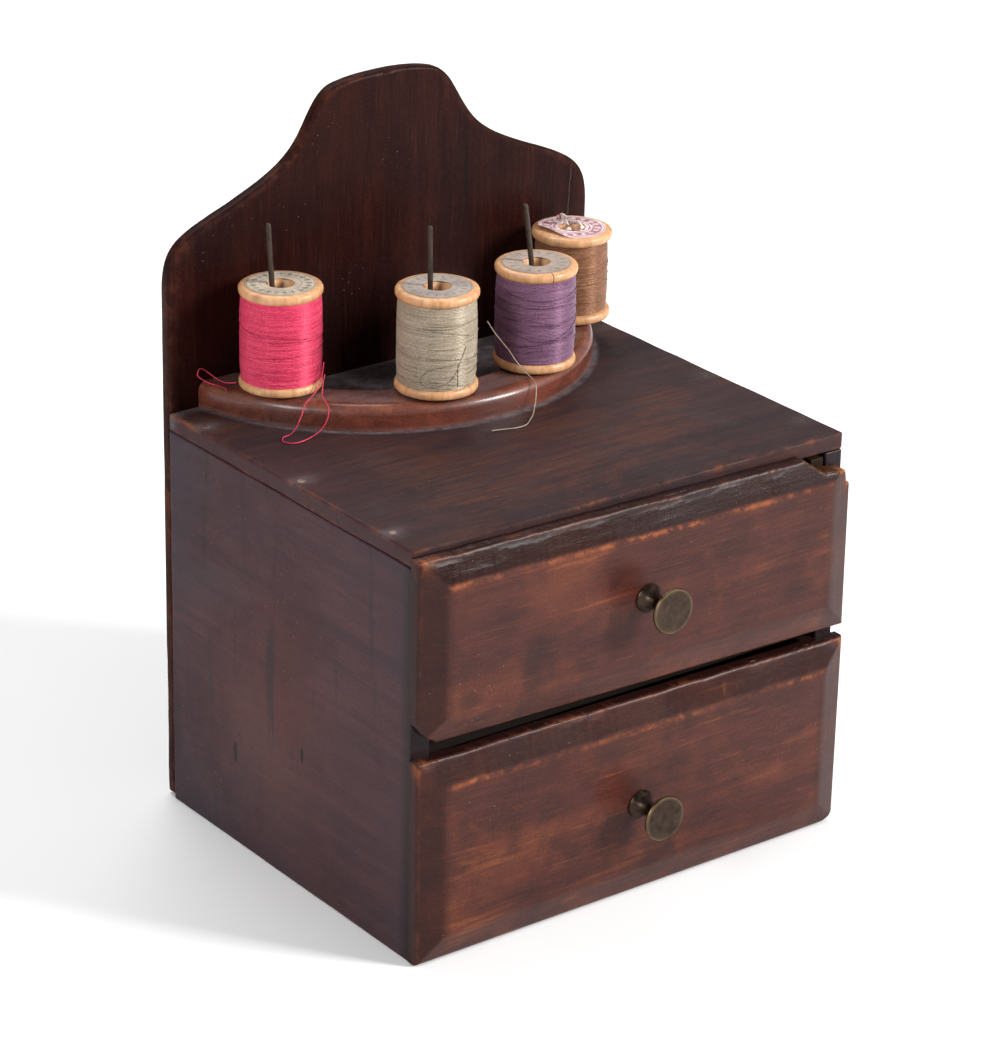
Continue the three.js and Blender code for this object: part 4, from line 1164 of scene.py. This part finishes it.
def make_label(number, material, upper):
    """A paper disc glued to the flange. The last reel's is torn at the hole and curls away at one side."""
    name = f"reel_{number}_label_{'top' if upper else 'bottom'}"
    low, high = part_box(name)
    centre = (low + high) / 2
    outer = (high.x - low.x) / 2 - 0.2 * MM
    curled = number == 4 and upper
    rings, segments = 14, 80
    thick = 0.16 * MM
    points = []
    for level in (1, 0):
        for i in range(rings):
            for k in range(segments):
                angle = 2 * math.pi * k / segments
                along, aside = math.cos(angle), math.sin(angle)
                torn = (0.9 * MM if curled else 0.18 * MM) * hum(along, aside, 0, 3.0, number)
                start = LABEL_HOLE + torn + (0.3 * MM if curled else 0.0)
                rim = outer * (1 + 0.008 * hum(along, aside, 1, 2.5, number * 2))
                side = math.cos(angle - math.radians(190))
                if curled and side > math.cos(LABEL_TEAR):
                    rim *= math.cos(LABEL_TEAR) / side * (1 + 0.02 * hum(angle, 0, 0, 9.0, 3.0))
                share = i / (rings - 1)
                r = start + (rim - start) * share
                lift = 0.03 * MM * (1 + hum(along * r, aside * r, 0, 160.0, number))
                if curled:
                    lift += 1.3 * MM * max(0.0, math.cos(angle - math.radians(165))) ** 3 * share ** 3
                    lift += 0.5 * MM * max(0.0, hum(along, aside, 3, 2.0, 7)) * (1 - share)
                z = (low.z + thick * level + lift) if upper else (high.z - thick * level - lift * 0.3)
                points.append(Vector((centre.x + r * along, centre.y + r * aside, z)))
    count = rings * segments
    faces = grid_faces(rings, segments, wrap_columns=True)
    faces += [tuple(reversed(f)) for f in grid_faces(rings, segments, wrap_columns=True, start=count)]
    for i in (0, rings - 1):
        for k in range(segments):
            a, b = i * segments + k, i * segments + (k + 1) % segments
            faces.append((a, b, b + count, a + count))
    closed_piece(f"{name}_paper", points, faces, material, f"reel_{number}", (name,), sharp=60)


# Torn flaps round the last label's hole: turn, facing, out, width, height, crumple and seed.
FLAPS = ((103, 52, 5.0, 5.2, 4.9, 1.0, 4.0), (65, 65, 4.2, 3.2, 1.6, 0.8, 6.0),
         (20, 20, 4.0, 3.6, 1.5, 0.9, 7.0), (-15, -15, 3.6, 3.0, 1.2, 0.9, 11.0),
         (-60, -60, 4.2, 3.2, 0.9, 0.7, 8.0), (215, 215, 4.3, 2.4, 1.2, 0.7, 9.0))


def make_flaps(material):
    """Crumpled flaps of the torn label, pushed up round the hole."""
    low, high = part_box("reel_4_label_top")
    centre = (low + high) / 2
    across, up = 14, 11
    points, faces = [], []
    for turn, facing, out, wide, tall, crumple, seed in FLAPS:
        start = len(points)
        place = Vector((math.cos(math.radians(turn)), math.sin(math.radians(turn)), 0)) * out
        outward = Vector((math.cos(math.radians(facing)), math.sin(math.radians(facing)), 0))
        aside = Vector((-outward.y, outward.x, 0))
        for level in (0.0, 0.14):
            for i in range(across):
                for j in range(up):
                    s, v = i / (across - 1) - 0.5, j / (up - 1)
                    crush = crumple * hum(s * 3.4, v * 3.4, 0, 1.0, seed)
                    lean = crush + level - 0.45 * v * v * tall
                    side = wide * s * (1 - 0.3 * v) + 0.6 * crush
                    rise = tall * v * (1 - 0.9 * s * s) + 0.5 * crumple * hum(s * 4, v * 4, 1, 1.0, seed)
                    at = place + outward * lean + aside * side
                    points.append(Vector((centre.x + at.x * MM, centre.y + at.y * MM,
                                          low.z + 0.1 * MM + max(rise, 0) * MM)))
        count = across * up
        flap = grid_faces(across, up, start=start)
        flap += [tuple(reversed(f)) for f in grid_faces(across, up, start=start + count)]
        loop = grid_rim(across, up)
        for k, a in enumerate(loop):
            b = loop[(k + 1) % len(loop)]
            flap.append((start + a, start + b, start + b + count, start + a + count))
        faces += flap
    closed_piece("reel_4_label_flaps", points, faces, material, "reel_4", sharp=70)


def make_reels(look):
    for number, spec in REEL_LOOKS.items():
        centre = reel_place(number)[0]
        crack = (centre, math.radians(-103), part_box("reel_3_wood")[1].z) if number == 3 else None
        make_reel_wood(number, reel_birch(f"reel_{number}_birch", number * 5.0, crack))
        colour = spec["cotton"]
        thread = cotton(colour + "_cotton", tuple(getattr(look, colour)), spec["shade"], spec["light"])
        strands = crossing_strands(number, spec["strands"]) + LAID_STRANDS.get(number, [])
        make_winding(number, thread, strands)
        paper = printed_paper(f"label_{number}_paper", spec["paper"], spec["ink"], centre, spec["rings"],
                              spec["marks"], number, spec.get("solid"))
        for upper in (True, False):
            make_label(number, paper, upper)
        if number == 4:
            make_flaps(printed_paper("torn_paper", (0.85, 0.75, 0.73), (0.30, 0.07, 0.10), centre,
                                     ((5.2, 0.5),), ((6.0, 1.2, 9, 0.3),), 4.0))


# ---------------------------------------------------------------- loose thread

# Each loose end's route, in millimetres from the middle of the case's front plane.
LOOSE_THREADS = {
    "pink_thread_loop": {
        "far_end": "object", "colour": "pink",
        "route": (
            (-49.9, 113.6, 172.6), (-51.3, 112.5, 169), (-52.9, 111.6, 166), (-55.6, 110.6, 163.6),
            (-59, 109, 162.3), (-62.6, 106.6, 161.9), (-66, 103.8, 159.4), (-68.4, 103.6, 155.4),
            (-70.2, 104.6, 153), (-73, 104.8, 152.4), (-75, 101.6, 152.4), (-73.4, 98.6, 152.4),
            (-69.6, 98.2, 152.4), (-64.8, 99.4, 152.6), (-61, 99, 154.6), (-58.6, 98.6, 158.4),
            (-57.2, 100.2, 161.6), (-55.6, 104.6, 162.2), (-53.6, 109.2, 162.6), (-51.6, 111.6, 165.4),
            (-50.2, 112.6, 168.6))},
    "pink_thread_end": {
        "far_end": "bare", "colour": "pink",
        "route": (
            (-72.8, 134.2, 163.4), (-73.6, 136.6, 162.6), (-74.4, 139.6, 162), (-75.2, 143, 162.4),
            (-76.6, 145.2, 163.8), (-78.4, 146, 165.4), (-80, 146, 166.4), (-81.2, 145.9, 165.8),
            (-81.7, 145.4, 164.2), (-80.6, 143.4, 162.9), (-79, 141, 162), (-77.6, 138.6, 161.8),
            (-77, 136, 161.8), (-77.4, 133.6, 161.8))},
    "olive_thread_end": {
        "far_end": "bare", "colour": "olive",
        "route": (
            (-1.6, 83.2, 187.2), (2.8, 84.6, 181.6), (8.4, 87.4, 176), (12.6, 89, 171.6), (15, 88.2, 167.6),
            (16.8, 86, 164.6), (17.8, 83.6, 162.6), (17.6, 80.6, 161.8), (16.8, 78.2, 160.4),
            (15.8, 76.8, 157.6), (14.6, 75.8, 154.6), (12.2, 73.6, 152.5), (8.6, 70.4, 152.4),
            (4.4, 67.2, 152.4), (0, 66.6, 152.4), (-4.6, 68, 152.4), (-9.2, 69.4, 152.4))},
}


def smooth_path(places, between=6):
    """A smooth line through points, spaced evenly enough for a curve of fine thread."""
    points = [Vector(p) for p in places]
    ends = [2 * points[0] - points[1]] + points + [2 * points[-1] - points[-2]]
    line = []
    for i in range(len(points) - 1):
        p0, p1, p2, p3 = ends[i:i + 4]
        for j in range(between):
            t = j / between
            line.append(0.5 * ((2 * p1) + (p2 - p0) * t + (2 * p0 - 5 * p1 + 4 * p2 - p3) * t * t
                               + (3 * p1 - p0 - 3 * p2 + p3) * t ** 3))
    return line + [points[-1]]


def make_threads(look):
    for name, spec in LOOSE_THREADS.items():
        line = smooth_path([Vector((x * MM, FRONT_PLANE + y * MM, z * MM)) for x, y, z in spec["route"]])
        curve = bpy.data.curves.new(name, "CURVE")
        curve.dimensions = "3D"
        curve.bevel_depth = look.thread_thickness / 2
        curve.bevel_resolution = 3
        curve.use_fill_caps = True
        spline = curve.splines.new("POLY")
        spline.points.add(len(line) - 1)
        for point, at in zip(spline.points, line):
            point.co = (*at, 1.0)
        curve.materials.append(bpy.data.materials[spec["colour"] + "_cotton"])
        thing = bpy.data.objects.new(name + "_cotton", curve)
        bpy.context.scene.collection.objects.link(thing)
        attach(thing, "case")
        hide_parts(name)


# ---------------------------------------------------------------- stage

# The camera's place is given from the middle of the case's front plane.
CAMERA_PLACE = Vector((-752.5 * MM, FRONT_PLANE - 903.6 * MM, 644.1 * MM))
# Its turn to the right, its fall below level and its roll are in degrees.
CAMERA_TURN = 37.544
CAMERA_FALL = -23.253
CAMERA_ROLL = 1.2825


def make_camera(look):
    data = bpy.data.cameras.new("studio_camera")
    data.lens = look.camera_lens
    data.sensor_width = 36.0
    data.sensor_fit = "AUTO"
    turn, fall, roll = (math.radians(a) for a in (CAMERA_TURN, CAMERA_FALL, CAMERA_ROLL))
    ahead = Vector((math.cos(fall) * math.sin(turn), math.cos(fall) * math.cos(turn), math.sin(fall)))
    right = ahead.cross(Vector((0, 0, 1))).normalized()
    up = right.cross(ahead)
    right, up = right * math.cos(roll) + up * math.sin(roll), up * math.cos(roll) - right * math.sin(roll)
    camera = bpy.data.objects.new("studio_camera", data)
    bpy.context.scene.collection.objects.link(camera)
    camera.matrix_world = Matrix((
        (right.x, up.x, -ahead.x, CAMERA_PLACE.x), (right.y, up.y, -ahead.y, CAMERA_PLACE.y),
        (right.z, up.z, -ahead.z, CAMERA_PLACE.z), (0, 0, 0, 1)))
    bpy.context.scene.camera = camera


def soft_light(name, place, size, power, aim=Vector((0, 0, 0.12))):
    """A soft rectangular lamp that faces a point, by default the middle of the case."""
    data = bpy.data.lights.new(name, "AREA")
    data.shape = "RECTANGLE"
    data.size, data.size_y = size
    data.energy = power
    lamp = bpy.data.objects.new(name, data)
    bpy.context.scene.collection.objects.link(lamp)
    lamp.location = place
    lamp.rotation_euler = (aim - Vector(place)).to_track_quat("-Z", "Y").to_euler()


def make_stage(look):
    make_camera(look)
    points = [(-4, -4, 0), (4, -4, 0), (4, 4, 0), (-4, 4, 0)]
    mesh = bpy.data.meshes.new("floor")
    mesh.from_pydata(points, [], [(0, 1, 2, 3)])
    t = Tree("pale_floor", roughness=0.9, specular=0.1)
    speck = t.noise(t.mapped((1, 1, 1)), 6.0, 3.0)
    mesh.materials.append(t.finish(t.ramp(speck, (0.3, (0.90, 0.90, 0.90)), (0.7, (0.93, 0.93, 0.93)))))
    floor = bpy.data.objects.new("floor", mesh)
    bpy.context.scene.collection.objects.link(floor)
    soft_light("key_right", (1.55, -1.9, 1.35), (0.7, 0.95), look.key_power)
    soft_light("fill_left", (-2.2, -0.6, 1.3), (0.6, 1.0), look.fill_power)
    soft_light("top_back", (0.3, 1.6, 2.6), (2.4, 1.6), look.top_power, aim=Vector((0.3, 1.0, 0)))
    bpy.context.scene.view_settings.view_transform = "Standard"
    world = bpy.data.worlds.new("pale_room")
    bpy.context.scene.world = world
    world.use_nodes = True
    world.node_tree.nodes["Background"].inputs["Color"].default_value = (1, 1, 1, 1)
    world.node_tree.nodes["Background"].inputs["Strength"].default_value = look.room_light


# ---------------------------------------------------------------- the add-on

def colour_property(name, description, default):
    return bpy.props.FloatVectorProperty(name=name, description=description, subtype="COLOR", size=3,
                                         min=0.0, max=1.0, default=default)


class BobbinBoxLook(bpy.types.PropertyGroup):
    """The sizes, colours and lights that a user would change."""

    bevel_width: bpy.props.FloatProperty(
        name="Bevel Width", description="Width of the bevel round each drawer front",
        default=10.5 * MM, min=2 * MM, max=20 * MM, unit="LENGTH", subtype="DISTANCE")
    back_round: bpy.props.FloatProperty(
        name="Back Rounding", description="Radius worn on the arris of the back board",
        default=1.5 * MM, min=0.2 * MM, max=2.4 * MM, unit="LENGTH", subtype="DISTANCE")
    thread_thickness: bpy.props.FloatProperty(
        name="Thread Thickness", description="Diameter of the loose thread",
        default=0.4 * MM, min=0.3 * MM, max=1 * MM, unit="LENGTH", subtype="DISTANCE")
    stain_light: colour_property("Light Stain", "Lightest grain of the side panels", (0.068, 0.0225, 0.026))
    stain_mid: colour_property("Middle Stain", "Middle tone of the side panels", (0.050, 0.0170, 0.0215))
    stain_dark: colour_property("Dark Stain", "Darkest grain of the side panels", (0.033, 0.0120, 0.0165))
    worn_wood: colour_property("Worn Wood", "Wood where the stain is rubbed away", (0.13, 0.045, 0.025))
    pink: colour_property("Pink Thread", "Thread on the first reel", (0.70, 0.060, 0.132))
    olive: colour_property("Olive Thread", "Thread on the second reel", (0.40, 0.325, 0.240))
    purple: colour_property("Purple Thread", "Thread on the third reel", (0.215, 0.112, 0.180))
    brown: colour_property("Brown Thread", "Thread on the fourth reel", (0.225, 0.100, 0.055))
    camera_lens: bpy.props.FloatProperty(
        name="Camera Lens", description="Focal length of the camera", default=130.46, min=20.0, max=300.0,
        unit="CAMERA")
    key_power: bpy.props.FloatProperty(
        name="Key Light", description="Power of the light at the right", default=104.0, min=0.0,
        unit="POWER")
    fill_power: bpy.props.FloatProperty(
        name="Fill Light", description="Power of the light at the left", default=28.0, min=0.0,
        unit="POWER")
    top_power: bpy.props.FloatProperty(
        name="Top Light", description="Power of the light above and behind", default=60.0, min=0.0,
        unit="POWER")
    room_light: bpy.props.FloatProperty(
        name="Room Light", description="Strength of the pale surroundings", default=0.32, min=0.0)


class BOBBINBOX_OT_stage(bpy.types.Operator):
    """Set up the pale floor, the soft lights and the camera"""
    bl_idname = "bobbinbox.stage"
    bl_label = "Stage"

    def execute(self, context):
        make_stage(context.scene.bobbin_box)
        return {"FINISHED"}


class BOBBINBOX_OT_reels(bpy.types.Operator):
    """Make the turned reels, their windings and their paper labels"""
    bl_idname = "bobbinbox.reels"
    bl_label = "Reels"

    def execute(self, context):
        make_reels(context.scene.bobbin_box)
        return {"FINISHED"}


class BOBBINBOX_OT_threads(bpy.types.Operator):
    """Lay the loose ends of thread over the rail and the top"""
    bl_idname = "bobbinbox.threads"
    bl_label = "Loose Threads"

    def execute(self, context):
        make_threads(context.scene.bobbin_box)
        return {"FINISHED"}


class BOBBINBOX_OT_case(bpy.types.Operator):
    """Make the back board, sides, top, bottom and divider"""
    bl_idname = "bobbinbox.case"
    bl_label = "Case"

    def execute(self, context):
        make_case(context.scene.bobbin_box)
        return {"FINISHED"}


class BOBBINBOX_OT_rail(bpy.types.Operator):
    """Make the curved reel rail"""
    bl_idname = "bobbinbox.rail"
    bl_label = "Reel Rail"

    def execute(self, context):
        make_rail()
        return {"FINISHED"}


class BOBBINBOX_OT_ironwork(bpy.types.Operator):
    """Make the reel pins and the nails"""
    bl_idname = "bobbinbox.ironwork"
    bl_label = "Pins and Nails"

    def execute(self, context):
        make_pins()
        make_nails()
        return {"FINISHED"}


class BOBBINBOX_OT_drawers(bpy.types.Operator):
    """Make both drawers with their fielded fronts and turned knobs"""
    bl_idname = "bobbinbox.drawers"
    bl_label = "Drawers"

    def execute(self, context):
        make_drawers(context.scene.bobbin_box)
        return {"FINISHED"}


OPERATORS = (BOBBINBOX_OT_stage, BOBBINBOX_OT_reels, BOBBINBOX_OT_threads, BOBBINBOX_OT_case,
             BOBBINBOX_OT_rail, BOBBINBOX_OT_ironwork, BOBBINBOX_OT_drawers)


class BOBBINBOX_PT_panel(bpy.types.Panel):
    """Lists the looks and the pieces of the bobbin box"""
    bl_idname = "BOBBINBOX_PT_panel"
    bl_label = "Bobbin Box"
    bl_space_type = "VIEW_3D"
    bl_region_type = "UI"
    bl_category = "Bobbin Box"

    def draw(self, context):
        look = context.scene.bobbin_box
        for name in look.bl_rna.properties.keys():
            if name not in {"rna_type", "name"}:
                self.layout.prop(look, name)
        for operator in OPERATORS:
            self.layout.operator(operator.bl_idname)


CLASSES = (BobbinBoxLook, *OPERATORS, BOBBINBOX_PT_panel)


def register():
    for item in CLASSES:
        bpy.utils.register_class(item)
    bpy.types.Scene.bobbin_box = bpy.props.PointerProperty(type=BobbinBoxLook)


def unregister():
    del bpy.types.Scene.bobbin_box
    for item in reversed(CLASSES):
        bpy.utils.unregister_class(item)


def main():
    register()
    bpy.ops.bobbinbox.stage()
    bpy.ops.bobbinbox.reels()
    bpy.ops.bobbinbox.threads()
    bpy.ops.bobbinbox.case()
    bpy.ops.bobbinbox.rail()
    bpy.ops.bobbinbox.ironwork()
    bpy.ops.bobbinbox.drawers()


if __name__ == "__main__":
    main()
